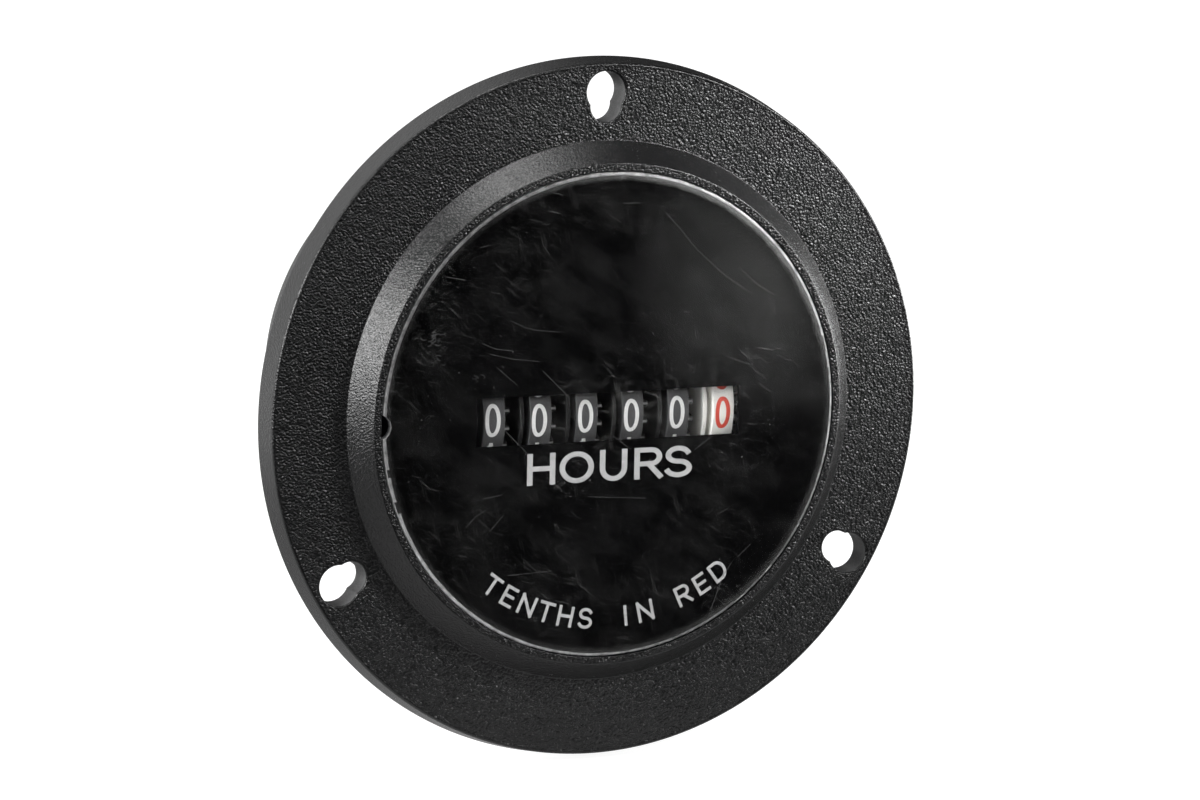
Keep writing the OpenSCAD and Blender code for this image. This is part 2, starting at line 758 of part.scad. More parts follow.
// Can lying on the board, with two leads that turn down into it
module quartz_crystal() {
    middle = [crystal_at[0], board_y - crystal_d / 2, crystal_at[1]];
    color([0.8, 0.8, 0.82]) {
        translate(middle - [crystal_len / 2, 0, 0])
            rotate([0, 90, 0]) cylinder(d = crystal_d, h = crystal_len);
        for (side = [-1, 1]) translate(middle + [crystal_len / 2, 0, side * crystal_lead_gap / 2]) {
            rotate([0, 90, 0]) cylinder(d = lead_d, h = crystal_lead_len);
            translate([crystal_lead_len - lead_d / 2, 0, 0]) bent_lead(crystal_d / 2);
        }
    }
}

// End of a lead that turns from its part down to the board
module bent_lead(drop) {
    facing(drop) cylinder(d = lead_d, h = drop + lead_d / 2);
}

// Standing can with a crimp around its foot
module capacitor() {
    r = cap_d / 2;
    color([0.15, 0.2, 0.4]) translate([cap_at[0], 0, cap_at[1]]) facing(board_y) rotate_extrude() polygon([
        [0, 0], [r, 0], [r, cap_crimp_at - cap_crimp], [r - cap_crimp, cap_crimp_at],
        [r, cap_crimp_at + cap_crimp], [r, cap_len - cap_crimp], [r - cap_crimp, cap_len], [0, cap_len]]);
}

// Axial body with a lead at each end
module diode() {
    middle = [diode_at[0], board_y - diode_d / 2, diode_at[1]];
    reach = diode_len / 2 + diode_lead_len;
    color([0.12, 0.12, 0.12]) translate(middle) {
        translate([-diode_len / 2, 0, 0]) rotate([0, 90, 0]) cylinder(d = diode_d, h = diode_len);
        translate([-reach, 0, 0]) rotate([0, 90, 0]) cylinder(d = lead_d, h = 2 * reach);
        for (side = [-1, 1]) translate([side * (reach - lead_d / 2), 0, 0]) bent_lead(diode_d / 2);
    }
}

module board_screws() {
    color([0.75, 0.75, 0.75]) at_stands() {
        facing(board_y) cylinder(r = screw_head_r, h = screw_head_h);
        facing(board_back + board_screw_bite) cylinder(d = screw_d, h = board_t + board_screw_bite);
    }
}

// Closing disc with a spigot in the barrel, standoffs for the board and a pad behind the terminals
module rear_cover() {
    cover_y = barrel_len;
    spigot_r = bore_r - slip;
    pad_x = blade_spacing / 2 + blade_t / 2 + pad_margin;
    pad_z = blade_w / 2 + pad_margin;
    color([0.16, 0.16, 0.17]) difference() {
        union() {
            facing(cover_y + cover_t) rotate_extrude($fn = 256) polygon([
                [0, 0], [cover_r - cover_chamfer, 0], [cover_r, cover_chamfer], [cover_r, cover_t],
                [spigot_r, cover_t], [spigot_r, cover_t + cover_spigot],
                [spigot_r - cover_spigot_wall, cover_t + cover_spigot],
                [spigot_r - cover_spigot_wall, cover_t], [0, cover_t]]);
            at_stands() facing(cover_y) cylinder(d = stand_d, h = board_stand);
            translate([-pad_x, cover_y + cover_t, -pad_z]) cube([2 * pad_x, pad_h, 2 * pad_z]);
        }
        at_stands() facing(board_back + board_screw_bite + slip)
            cylinder(d = screw_d + 2 * slip, h = board_screw_bite + over);
        for (side = [-1, 1]) translate([side * blade_spacing / 2, 0, 0])
            translate([-blade_t / 2 - slip, cover_y - over, -blade_w / 2 - slip])
                cube([blade_t + 2 * slip, cover_t + pad_h + 2 * over, blade_w + 2 * slip]);
    }
}

// Push-on blade with a tapered tip, a latching hole and a narrow tail through the board
module terminal(side) {
    face = barrel_len + cover_t + pad_h;
    tip = face + blade_len;
    half = blade_w / 2;
    outline = [[board_y - tail_reach, -tail_w / 2], [barrel_len, -tail_w / 2], [barrel_len, -half],
               [tip - blade_taper, -half], [tip, blade_taper - half], [tip, half - blade_taper],
               [tip - blade_taper, half], [barrel_len, half], [barrel_len, tail_w / 2],
               [board_y - tail_reach, tail_w / 2]];
    color([0.8, 0.75, 0.55]) across(side * blade_spacing / 2 - blade_t / 2)
        linear_extrude(blade_t) difference() {
            polygon(outline);
            translate([tip - blade_len / 2, 0]) circle(d = blade_hole_d);
        }
}

module terminal_left() { terminal(-1); }
module terminal_right() { terminal(1); }

case();
lens();
dial_plate();
counter_frame();
frame_screws();
wheel_shaft();
pinion_shaft();
shaft_clips();
ten_thousands_wheel();
thousands_wheel();
hundreds_wheel();
tens_wheel();
units_wheel();
tenths_wheel();
transfer_pinion_1();
transfer_pinion_2();
transfer_pinion_3();
transfer_pinion_4();
transfer_pinion_5();
reduction_gear();
rotor_arbor();
rotor_magnet();
train_bridge();
train_pillars();
train_screws();
rotor_bridge();
stator();
stator_posts();
coil_core();
coil_bobbin();
coil_winding();
circuit_board();
timer_chip();
quartz_crystal();
capacitor();
diode();
board_screws();
rear_cover();
terminal_left();
terminal_right();
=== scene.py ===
"""Round panel hour meter: the case, lens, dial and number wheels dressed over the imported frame."""

import math
import random

import bmesh
import bpy
from mathutils import Matrix, Vector


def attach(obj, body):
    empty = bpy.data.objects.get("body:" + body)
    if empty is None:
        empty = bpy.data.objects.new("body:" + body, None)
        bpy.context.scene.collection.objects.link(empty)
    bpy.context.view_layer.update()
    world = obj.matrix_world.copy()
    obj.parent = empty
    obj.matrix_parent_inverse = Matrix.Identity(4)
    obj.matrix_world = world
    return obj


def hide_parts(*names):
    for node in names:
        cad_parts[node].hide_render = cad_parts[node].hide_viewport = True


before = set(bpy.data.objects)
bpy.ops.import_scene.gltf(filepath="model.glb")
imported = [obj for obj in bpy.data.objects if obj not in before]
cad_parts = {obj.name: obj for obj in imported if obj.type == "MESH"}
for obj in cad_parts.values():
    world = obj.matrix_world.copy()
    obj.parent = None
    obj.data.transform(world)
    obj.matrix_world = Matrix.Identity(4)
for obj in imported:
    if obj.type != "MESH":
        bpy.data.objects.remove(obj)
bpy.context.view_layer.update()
scene = bpy.context.scene
chance = random.Random(7)

MM = 0.001

# Sizes of the part, in millimetres
FLANGE_R, FLANGE_FACE_R, FLANGE_FRONT = 36.0, 35.502, -3.1
CONE_FOOT_R, CONE_TOP_R, BOSS_FRONT = 27.7, 25.645, -5.6
BARREL_R, BORE_R, BARREL_END = 25.4, 23.8, 27.0
LUG_X, LUG_HALF, LUG_BACK, LUG_LOW, LUG_TOP = 9.0, 3.0, 11.0, 10.53, 21.9
SEAT_R, LENS_R, LENS_FRONT, LENS_BACK = 24.9, 24.8, -5.745, -4.8
NOTCH_R, NOTCH_OUT = 1.3, 0.4
DIAL_FRONT, DIAL_BACK = -4.75, -4.35
WINDOW_HALF, WINDOW_LOW, WINDOW_TOP = 14.45, -2.7, 2.3
HOLE_AT, HOLE_R, RELIEF_R, RELIEF_OFFSET = 32.6, 2.1, 1.68, 1.4
HOLES_FROM, HOLES_TO = 29.0, 35.2
AXLE_Y, AXLE_Z, WHEEL_R, WHEEL_PITCH, COUNTER_SHIFT = 2.4, -0.2, 6.5, 5.07, 0.42
BAND_HALF, DISC_OFFSET, DISC_R, DISC_T = 1.175, 2.175, 6.25, 0.45
GROOVE_R, HUB_R, WHEEL_BORE_R, HUB_GAP, HUB_END = 4.9, 2.2, 1.05, 0.1, 15.27
GEAR_PITCH_R, GEAR_TIP, GEAR_ROOT, GEAR_W, GEAR_OVERLAP = 5.6, 0.55, 1.15, 0.7, 0.1
WHEELS = ("ten_thousands", "thousands", "hundreds", "tens", "units", "tenths")
LAST = len(WHEELS) - 1
WHEEL_X = [(i - LAST / 2) * WHEEL_PITCH + COUNTER_SHIFT for i in range(len(WHEELS))]
INK = 0.012


# Helpers for meshes, worked in millimetres until they are put in place


def rounded(corners, steps=6):
    """Points of a closed outline of (a, b, radius) corners, each turned into an arc of its radius."""
    points = []
    for i, (a, b, radius) in enumerate(corners):
        here = Vector((a, b))
        if not radius:
            points.append(here)
            continue
        back = (Vector(corners[i - 1][:2]) - here).normalized()
        on = (Vector(corners[(i + 1) % len(corners)][:2]) - here).normalized()
        half = back.angle(on) / 2
        centre = here + (back + on).normalized() * radius / math.sin(half)
        start = (here + back * radius / math.tan(half) - centre).normalized()
        end = (here + on * radius / math.tan(half) - centre).normalized()
        points += [centre + start.slerp(end, k / steps) * radius for k in range(steps + 1)]
    return points


def turned(points, axis, centre, steps, closed=True):
    """A profile spun a full turn about an axis."""
    bm = bmesh.new()
    verts = [bm.verts.new(p) for p in points]
    pairs = list(zip(verts, verts[1:])) + ([(verts[-1], verts[0])] if closed else [])
    edges = [bm.edges.new(pair) for pair in pairs]
    bmesh.ops.spin(
        bm, geom=verts + edges, cent=centre, axis=axis, angle=math.tau, steps=steps, use_merge=True
    )
    tidy(bm)
    return bm


def about_meter(points, steps=256, closed=True):
    return turned([(a, b, 0) for a, b in points], (0, 1, 0), (0, 0, 0), steps, closed)


def about_axle(points, steps=144):
    return turned([(a, AXLE_Y, AXLE_Z + b) for a, b in points], (1, 0, 0), (0, AXLE_Y, AXLE_Z), steps)


def tidy(bm):
    bmesh.ops.remove_doubles(bm, verts=bm.verts, dist=1e-4)
    bmesh.ops.dissolve_degenerate(bm, edges=bm.edges, dist=1e-5)
    bmesh.ops.recalc_face_normals(bm, faces=bm.faces)


def prism(bm, outline, depth):
    """An outline of 3-D points raised along a vector."""
    face = bm.faces.new([bm.verts.new(p) for p in outline])
    raised = bmesh.ops.extrude_face_region(bm, geom=[face])["geom"]
    moved = [v for v in raised if isinstance(v, bmesh.types.BMVert)]
    bmesh.ops.translate(bm, verts=moved, vec=depth)
    bmesh.ops.recalc_face_normals(bm, faces=bm.faces)


def block(bm, low, high, edge=0.0):
    """A box between two corners, with its edges rounded."""
    size = Vector(high) - Vector(low)
    place = Matrix.Translation((Vector(low) + Vector(high)) / 2) @ Matrix.Diagonal(size.to_4d())
    made = bmesh.ops.create_cube(bm, size=1, matrix=place)["verts"]
    if edge:
        edges = list({e for v in made for e in v.link_edges})
        bmesh.ops.bevel(
            bm, geom=edges, offset=edge, segments=3, profile=0.5, affect="EDGES", material=-1
        )


def rod(bm, start, end, radius, steps=48):
    """A plain rod between two points, used for pegs and for cutters."""
    start, end = Vector(start), Vector(end)
    turn = Vector((0, 0, 1)).rotation_difference(end - start).to_matrix().to_4x4()
    bmesh.ops.create_cone(
        bm,
        cap_ends=True,
        segments=steps,
        radius1=radius,
        radius2=radius,
        depth=(end - start).length,
        matrix=Matrix.Translation((start + end) / 2) @ turn,
    )


def to_object(bm, name):
    mesh = bpy.data.meshes.new(name)
    bm.to_mesh(mesh)
    bm.free()
    made = bpy.data.objects.new(name, mesh)
    scene.collection.objects.link(made)
    return made


def cut(body, cutter):
    """Takes the cutter's shape out of the body and returns the result as a bmesh."""
    first, second = to_object(body, "uncut"), to_object(cutter, "cutter")
    knife = first.modifiers.new("knife", "BOOLEAN")
    knife.operation, knife.solver, knife.object = "DIFFERENCE", "EXACT", second
    shown = first.evaluated_get(bpy.context.evaluated_depsgraph_get())
    result = bmesh.new()
    result.from_mesh(shown.data)
    for used in (first, second):
        mesh = used.data
        bpy.data.objects.remove(used)
        bpy.data.meshes.remove(mesh)
    bmesh.ops.remove_doubles(result, verts=result.verts, dist=1e-5)
    return result


def place(bm, name, body, slot, looks, stands_for=(), finish=None, crease=30):
    """Scales a mesh to metres and gives it its finishes, its body and the solids it stands for."""
    for face in bm.faces:
        face.smooth = True
        face.material_index = finish(face) if finish else 0
    bmesh.ops.scale(bm, vec=(MM, MM, MM), verts=bm.verts)
    made = to_object(bm, name)
    made.data.set_sharp_from_angle(angle=math.radians(crease))
    for look in looks:
        made.data.materials.append(look)
    even = made.modifiers.new("even_normals", "WEIGHTED_NORMAL")
    even.keep_sharp = True
    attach(made, body)
    if stands_for:
        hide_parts(*stands_for)
    return made


# Helpers for node-based finishes


def node(tree, kind, inputs=None, **settings):
    """Adds a node, with its inputs given as values or as the sockets that feed them."""
    made = tree.nodes.new(kind)
    for key, value in settings.items():
        setattr(made, key, value)
    for key, value in (inputs or {}).items():
        if isinstance(value, bpy.types.NodeSocket):
            tree.links.new(value, made.inputs[key])
        else:
            made.inputs[key].default_value = value
    return made


def maths(tree, operation, *values):
    return node(tree, "ShaderNodeMath", dict(enumerate(values)), operation=operation).outputs[0]


def measured(tree, operation, *vectors):
    """A single value taken from vectors."""
    return node(tree, "ShaderNodeVectorMath", dict(enumerate(vectors)), operation=operation).outputs["Value"]


def object_place(tree):
    return node(tree, "ShaderNodeTexCoord").outputs["Object"]


def off_axis(tree, at):
    """Distance from the meter's axis."""
    flat = node(tree, "ShaderNodeVectorMath", {0: at, 1: (1.0, 0.0, 1.0)}, operation="MULTIPLY")
    return measured(tree, "LENGTH", flat.outputs[0])


def spread(tree, value, low, high, to_low=0.0, to_high=1.0):
    """Maps a value's range to another, held at both ends."""
    return node(
        tree, "ShaderNodeMapRange", {0: value, 1: low, 2: high, 3: to_low, 4: to_high}
    ).outputs[0]


def noise(tree, vector, scale, detail=2.0, rough=0.5):
    return node(
        tree,
        "ShaderNodeTexNoise",
        {"Vector": vector, "Scale": scale, "Detail": detail, "Roughness": rough},
    ).outputs[0]


def stretched(tree, vector, turn, scale, offset=0.0):
    """Coordinates moved, turned about the meter's axis and then scaled."""
    lie = {
        "Vector": vector,
        "Location": (offset, 0.0, offset),
        "Rotation": (0.0, turn, 0.0),
        "Scale": [1 / s for s in scale],
    }
    return node(tree, "ShaderNodeMapping", lie, vector_type="TEXTURE").outputs[0]


def group(name, inputs, outputs):
    tree = bpy.data.node_groups.new(name, "ShaderNodeTree")
    for label, kind, value in inputs:
        socket = tree.interface.new_socket(label, in_out="INPUT", socket_type=kind)
        socket.default_value = value
    for label, kind in outputs:
        tree.interface.new_socket(label, in_out="OUTPUT", socket_type=kind)
    given = tree.nodes.new("NodeGroupInput").outputs
    return tree, given, tree.nodes.new("NodeGroupOutput").inputs


FLOAT, COLOUR, VECTOR = "NodeSocketFloat", "NodeSocketColor", "NodeSocketVector"


def make_tone():
    """Uneven colour and gloss of a moulded, cast or painted surface."""
    tree, given, out = group(
        "uneven_tone",
        [
            ("Tint", COLOUR, (1, 1, 1, 1)),
            ("Gloss", FLOAT, 0.5),
            ("Spread", FLOAT, 0.1),
            ("Scale", FLOAT, 300.0),
        ],
        [("Color", COLOUR), ("Roughness", FLOAT)],
    )
    at = object_place(tree)
    cloud = noise(tree, at, given["Scale"], 4.0, 0.6)
    fine = noise(tree, at, maths(tree, "MULTIPLY", given["Scale"], 9.0), 2.0)
    low = maths(tree, "SUBTRACT", 1.0, given["Spread"])
    high = maths(tree, "ADD", 1.0, given["Spread"])
    shade = spread(tree, cloud, 0.3, 0.7, low, high)
    tinted = node(tree, "ShaderNodeVectorMath", {0: given["Tint"], "Scale": shade}, operation="SCALE")
    tree.links.new(tinted.outputs[0], out["Color"])
    gloss = maths(tree, "MULTIPLY", given["Gloss"], spread(tree, fine, 0.25, 0.75, low, high))
    tree.links.new(gloss, out["Roughness"])
    return tree


def make_pebble():
    """Height of a moulded pebble grain."""
    tree, given, out = group("pebble_grain", [("Scale", FLOAT, 2600.0)], [("Height", FLOAT)])
    at = object_place(tree)
    pebbles = node(
        tree,
        "ShaderNodeTexVoronoi",
        {"Vector": at, "Scale": given["Scale"], "Smoothness": 0.4},
        feature="SMOOTH_F1",
    ).outputs["Distance"]
    crumbs = noise(tree, at, maths(tree, "MULTIPLY", given["Scale"], 0.35), 2.0, 0.5)
    tree.links.new(maths(tree, "SUBTRACT", maths(tree, "MULTIPLY", crumbs, 0.35), pebbles), out["Height"])
    return tree


def make_lines():
    """Fine parallel lines left by drawing, brushing or turning, along the short side of Stretch."""
    tree, given, out = group("drawn_lines", [("Stretch", VECTOR, (1.0, 1.0, 1.0))], [("Value", FLOAT)])
    at = object_place(tree)
    drawn = node(tree, "ShaderNodeVectorMath", {0: at, 1: given["Stretch"]}, operation="MULTIPLY")
    tree.links.new(noise(tree, drawn.outputs[0], 1.0, 3.0, 0.6), out["Value"])
    return tree


def make_marks():
    """Hairline scratches, smudges and dust of a handled face."""
    tree, given, out = group(
        "handling_marks",
        [("Scratches", FLOAT, 0.5), ("Smudges", FLOAT, 0.5), ("Dust", FLOAT, 0.5)],
        [("Mask", FLOAT)],
    )
    at = object_place(tree)
    swirl = node(tree, "ShaderNodeTexNoise", {"Vector": at, "Scale": 60.0}).outputs["Color"]
    bent = {0: swirl, 1: (0.0012, 0.0, 0.0012), 2: at}
    bent = node(tree, "ShaderNodeVectorMath", bent, operation="MULTIPLY_ADD").outputs[0]
    hairs = None
    directions = ((0.75, 300.0, 0.1), (-0.55, 330.0, 0.3), (1.35, 240.0, 0.7), (0.2, 420.0, 0.9))
    for turn, length, offset in directions:
        lie = stretched(tree, bent, turn, (length, 1.0, 9000.0), offset)
        hair = spread(tree, noise(tree, lie, 1.0, 1.0), 0.68, 0.76)
        hairs = hair if hairs is None else maths(tree, "MAXIMUM", hairs, hair)
    patches = spread(tree, noise(tree, at, 90.0, 3.0), 0.42, 0.62)
    hairs = maths(tree, "MULTIPLY", maths(tree, "MULTIPLY", hairs, patches), given["Scratches"])
    smears = noise(tree, stretched(tree, at, 0.5, (170.0, 170.0, 300.0)), 1.0, 5.0, 0.65)
    smears = maths(tree, "MULTIPLY", spread(tree, smears, 0.45, 0.75), given["Smudges"])
    motes = node(tree, "ShaderNodeTexVoronoi", {"Vector": at, "Scale": 1500.0})
    pick = node(tree, "ShaderNodeSeparateColor", {0: motes.outputs["Color"]}).outputs[0]
    size = spread(tree, pick, 0.86, 1.0, 0.0, 0.11)
    mote = maths(tree, "LESS_THAN", motes.outputs["Distance"], size)
    mote = maths(tree, "MULTIPLY", mote, given["Dust"])
    total = maths(tree, "ADD", maths(tree, "ADD", hairs, smears), mote)
    tree.links.new(maths(tree, "MINIMUM", total, 1.0), out["Mask"])
    return tree


uneven_tone, pebble_grain = make_tone(), make_pebble()
drawn_lines, handling_marks = make_lines(), make_marks()


def finish_of(name):
    """A new material with its node tree and its shader."""
    look = bpy.data.materials.new(name)
    look.use_nodes = True
    return look, look.node_tree, look.node_tree.nodes["Principled BSDF"]


def filled(tree, which, values):
    return node(tree, "ShaderNodeGroup", values, node_tree=which)


def bumped(tree, shader, height, depth):
    bump = node(tree, "ShaderNodeBump", {"Height": height, "Distance": depth})
    tree.links.new(bump.outputs[0], shader.inputs["Normal"])


def toned(name, tint, gloss, uneven=0.1, scale=300.0, metal=0.0, lines=None, depth=4e-6, specular=0.5):
    """A finish with uneven colour and gloss, and drawn lines where it has them."""
    look, tree, shader = finish_of(name)
    tone = filled(tree, uneven_tone, {"Tint": (*tint, 1), "Gloss": gloss, "Spread": uneven, "Scale": scale})
    tree.links.new(tone.outputs["Color"], shader.inputs["Base Color"])
    tree.links.new(tone.outputs["Roughness"], shader.inputs["Roughness"])
    shader.inputs["Metallic"].default_value = metal
    shader.inputs["Specular IOR Level"].default_value = specular
    if lines:
        drawn = filled(tree, drawn_lines, {"Stretch": lines})
        bumped(tree, shader, drawn.outputs["Value"], depth)
    else:
        at = object_place(tree)
        bumped(tree, shader, noise(tree, at, scale * 12.0, 2.0), depth)
    return look


def grained_case(name, tint, gloss, scale, depth):
    """Black plastic with pebble grain that stops short of the flange's rim."""
    look, tree, shader = finish_of(name)
    tone = filled(tree, uneven_tone, {"Tint": (*tint, 1), "Gloss": gloss, "Spread": 0.18, "Scale": 140.0})
    tree.links.new(tone.outputs["Color"], shader.inputs["Base Color"])
    tree.links.new(tone.outputs["Roughness"], shader.inputs["Roughness"])
    shader.inputs["Specular IOR Level"].default_value = 0.4
    at = object_place(tree)
    inside = spread(tree, off_axis(tree, at), (FLANGE_R - 0.9) * MM, (FLANGE_R - 0.6) * MM, 1.0, 0.0)
    grain = filled(tree, pebble_grain, {"Scale": scale}).outputs["Height"]
    bumped(tree, shader, maths(tree, "MULTIPLY", grain, inside), depth)
    return look


def clear_lens():
    """Clear acrylic with handling marks, hazier towards the upper right, with a pale band painted just inside
    its rim as a painted reflection of the rim, open to the lamps' shadow rays.
    """
    look, tree, glass = finish_of("lens_clear")
    marks = filled(tree, handling_marks, {"Scratches": 0.36, "Smudges": 0.022, "Dust": 0.7}).outputs["Mask"]
    at = object_place(tree)
    hazy = measured(tree, "DISTANCE", at, (0.018, -0.0057, 0.014))
    haze = spread(tree, hazy, 0.002, 0.017, 0.055, 0.0)
    haze = maths(tree, "MULTIPLY", haze, spread(tree, noise(tree, at, 420.0, 5.0, 0.65), 0.3, 0.7, 0.7, 1.25))
    # Painted reflection: a pale band just inside the rim, strongest towards the upper right, stands for the
    # rim's reflection.
    ragged = maths(tree, "MULTIPLY_ADD", noise(tree, at, 900.0, 3.0), 0.0007, off_axis(tree, at))
    ring = spread(tree, ragged, (LENS_R - 0.6) * MM, (LENS_R + 0.1) * MM, 0.0, 0.5)
    glint_distance = measured(tree, "DISTANCE", at, (0.012, -0.0057, 0.021))
    ring = maths(tree, "MULTIPLY", ring, spread(tree, glint_distance, 0.004, 0.024, 1.2, 0.15))
    marks = maths(tree, "ADD", maths(tree, "ADD", marks, haze), ring)
    glass.inputs["Base Color"].default_value = (0.98, 0.98, 0.98, 1)
    glass.inputs["IOR"].default_value = 1.49
    glass.inputs["Transmission Weight"].default_value = 1.0
    tree.links.new(spread(tree, marks, 0.0, 0.4, 0.02, 0.2), glass.inputs["Roughness"])
    dirt = node(tree, "ShaderNodeBsdfPrincipled", {"Base Color": (0.6, 0.6, 0.59, 1), "Roughness": 0.7})
    share = maths(tree, "MULTIPLY", marks, 0.35)
    marked = node(tree, "ShaderNodeMixShader", {0: share, 1: glass.outputs[0], 2: dirt.outputs[0]})
    shadow = node(tree, "ShaderNodeLightPath").outputs["Is Shadow Ray"]
    open_glass = node(tree, "ShaderNodeBsdfTransparent")
    lit = node(tree, "ShaderNodeMixShader", {0: shadow, 1: marked.outputs[0], 2: open_glass.outputs[0]})
    tree.links.new(lit.outputs[0], tree.nodes["Material Output"].inputs["Surface"])
    return look


def lens_edge():
    """Worn, half frosted edge of the lens, brighter where it is chipped, and coloured brighter towards the
    lower left and the upper right as a painted highlight.
    """
    look, tree, shader = finish_of("lens_edge")
    at = object_place(tree)
    chips = noise(tree, at, 700.0, 4.0, 0.7)
    # Painted highlight: the edge is coloured brighter towards the lower left and the upper right.
    wear_and_glint = 0.2
    for way in ((-0.5, 0.0, -0.866), (0.74, 0.0, 0.67)):
        side = measured(tree, "DOT_PRODUCT", at, way)
        near = maths(tree, "POWER", spread(tree, side, 0.0, LENS_R * MM), 2.0)
        wear_and_glint = maths(tree, "MULTIPLY_ADD", near, 0.55, wear_and_glint)
    ramp = maths(tree, "MULTIPLY", spread(tree, chips, 0.3, 0.65, 0.25, 0.75), wear_and_glint)
    colour = node(tree, "ShaderNodeCombineColor", {0: ramp, 1: ramp, 2: ramp}).outputs[0]
    tree.links.new(colour, shader.inputs["Base Color"])
    tree.links.new(spread(tree, chips, 0.3, 0.7, 0.15, 0.45), shader.inputs["Roughness"])
    bumped(tree, shader, chips, 6e-5)
    return look


def wound_copper():
    """Fine enamelled wire lying in even turns."""
    look, tree, shader = finish_of("copper")
    at = object_place(tree)
    turns = node(
        tree,
        "ShaderNodeTexWave",
        {"Vector": at, "Scale": 1300.0, "Distortion": 0.6},
        bands_direction="Z",
    ).outputs["Fac"]
    wire = {"Tint": (0.62, 0.22, 0.07, 1), "Gloss": 0.32, "Spread": 0.15, "Scale": 900.0}
    tone = filled(tree, uneven_tone, wire)
    tree.links.new(tone.outputs["Color"], shader.inputs["Base Color"])
    tree.links.new(tone.outputs["Roughness"], shader.inputs["Roughness"])
    shader.inputs["Metallic"].default_value = 0.9
    bumped(tree, shader, turns, 6e-5)
    return look


def lacquered_board():
    """Green solder mask with the copper runs showing faintly under it."""
    look, tree, shader = finish_of("board")
    at = object_place(tree)
    runs = node(
        tree,
        "ShaderNodeTexVoronoi",
        {"Vector": at, "Scale": 210.0, "Randomness": 0.55},
        distance="CHEBYCHEV",
        feature="F2",
    ).outputs["Distance"]
    on_run = spread(tree, runs, 0.58, 0.62)
    colour = node(tree, "ShaderNodeMix", {0: on_run}, data_type="RGBA")
    colour.inputs[6].default_value = (0.012, 0.085, 0.04, 1)
    colour.inputs[7].default_value = (0.03, 0.15, 0.065, 1)
    tree.links.new(colour.outputs[2], shader.inputs["Base Color"])
    shader.inputs["Roughness"].default_value = 0.3
    bumped(tree, shader, on_run, 3e-5)
    return look


case_satin = toned("case_satin", (0.005, 0.005, 0.0052), 0.24, 0.15, 420.0, depth=7e-5)
case_cut = toned("case_cut", (0.05, 0.05, 0.051), 0.5, 0.3, 700.0, depth=2e-5)
case_grain = grained_case("case_grained", (0.008, 0.008, 0.0082), 0.24, 4200.0, 1.25e-4)
lens_look, edge_look = clear_lens(), lens_edge()
dial_black = toned("dial_black", (0.003, 0.003, 0.0032), 0.5, 0.25, 160.0, depth=3e-6, specular=0.0)
wheel_dark = toned("wheel_dark", (0.066, 0.066, 0.068), 0.32, 0.14, 420.0, depth=6e-6, specular=0.6)
# Near-black for the dark wheels' discs, grooves and gears, a painted shade, and for the tenths wheel's gear.
wheel_black_painted_shade = toned("wheel_black_painted_shade", (0.004, 0.004, 0.0042), 0.6, 0.14, 420.0, depth=6e-6)
wheel_white = toned("wheel_white", (0.84, 0.83, 0.79), 0.48, 0.05, 380.0, depth=5e-6)
print_white = toned("print_white", (0.8, 0.8, 0.79), 0.55, 0.08, 900.0)
print_red = toned("print_red", (0.6, 0.06, 0.035), 0.55, 0.12, 900.0)
print_grey = toned("print_grey", (0.5, 0.5, 0.5), 0.6, 0.1, 900.0)
# Grey for the gear teeth's crests, a painted highlight.
tooth_painted_highlight = toned("tooth_painted_highlight", (0.24, 0.24, 0.24), 0.5, 0.2, 900.0)
scratch_pale = toned("scratch_pale", (0.06, 0.06, 0.06), 0.7, 0.5, 300.0)
tinned_brass = toned("tinned_brass", (0.74, 0.71, 0.64), 0.3, 0.1, 260.0, 1.0, (900.0, 500.0, 9000.0))

CAD_FINISHES = {
    toned("sheet_steel", (0.6, 0.6, 0.59), 0.34, 0.1, 240.0, 1.0, (300.0, 9000.0, 9000.0)): (
        "counter_frame",
    ),
    toned("steel", (0.66, 0.66, 0.67), 0.22, 0.1, 300.0, 1.0, (9000.0, 900.0, 900.0)): (
        "wheel_shaft",
        "pinion_shaft",
        "frame_screws",
        "train_pillars",
        "train_screws",
        "board_screws",
    ),
    toned("spring_steel", (0.34, 0.35, 0.38), 0.3, 0.16, 500.0, 1.0): ("shaft_clips",),
    toned("natural_plastic", (0.74, 0.68, 0.52), 0.42, 0.06, 260.0): (
        *(f"transfer_pinion_{k}" for k in range(1, 6)),
        "reduction_gear",
        "coil_bobbin",
    ),
    toned("brass", (0.75, 0.55, 0.24), 0.26, 0.1, 320.0, 1.0, (400.0, 6000.0, 6000.0)): (
        "rotor_arbor",
        "train_bridge",
        "rotor_bridge",
        "stator_posts",
    ),
    toned("magnet", (0.1, 0.1, 0.11), 0.4, 0.2, 700.0, 0.6): ("rotor_magnet",),
    toned("core_steel", (0.42, 0.42, 0.44), 0.4, 0.12, 300.0, 1.0, (9000.0, 700.0, 700.0)): (
        "stator",
        "coil_core",
    ),
    wound_copper(): ("coil_winding",),
    lacquered_board(): ("circuit_board",),
    toned("chip", (0.02, 0.02, 0.021), 0.55, 0.15, 900.0): ("timer_chip", "diode"),
    toned("can", (0.66, 0.66, 0.68), 0.25, 0.08, 300.0, 1.0, (600.0, 9000.0, 9000.0)): ("quartz_crystal",),
    toned("sleeve", (0.03, 0.05, 0.16), 0.28, 0.1, 260.0): ("capacitor",),
}
for look, names in CAD_FINISHES.items():
    for name in names:
        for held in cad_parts[name].material_slots:
            held.material = look


# Case: one moulding, with three keyhole-shaped holes through its flange


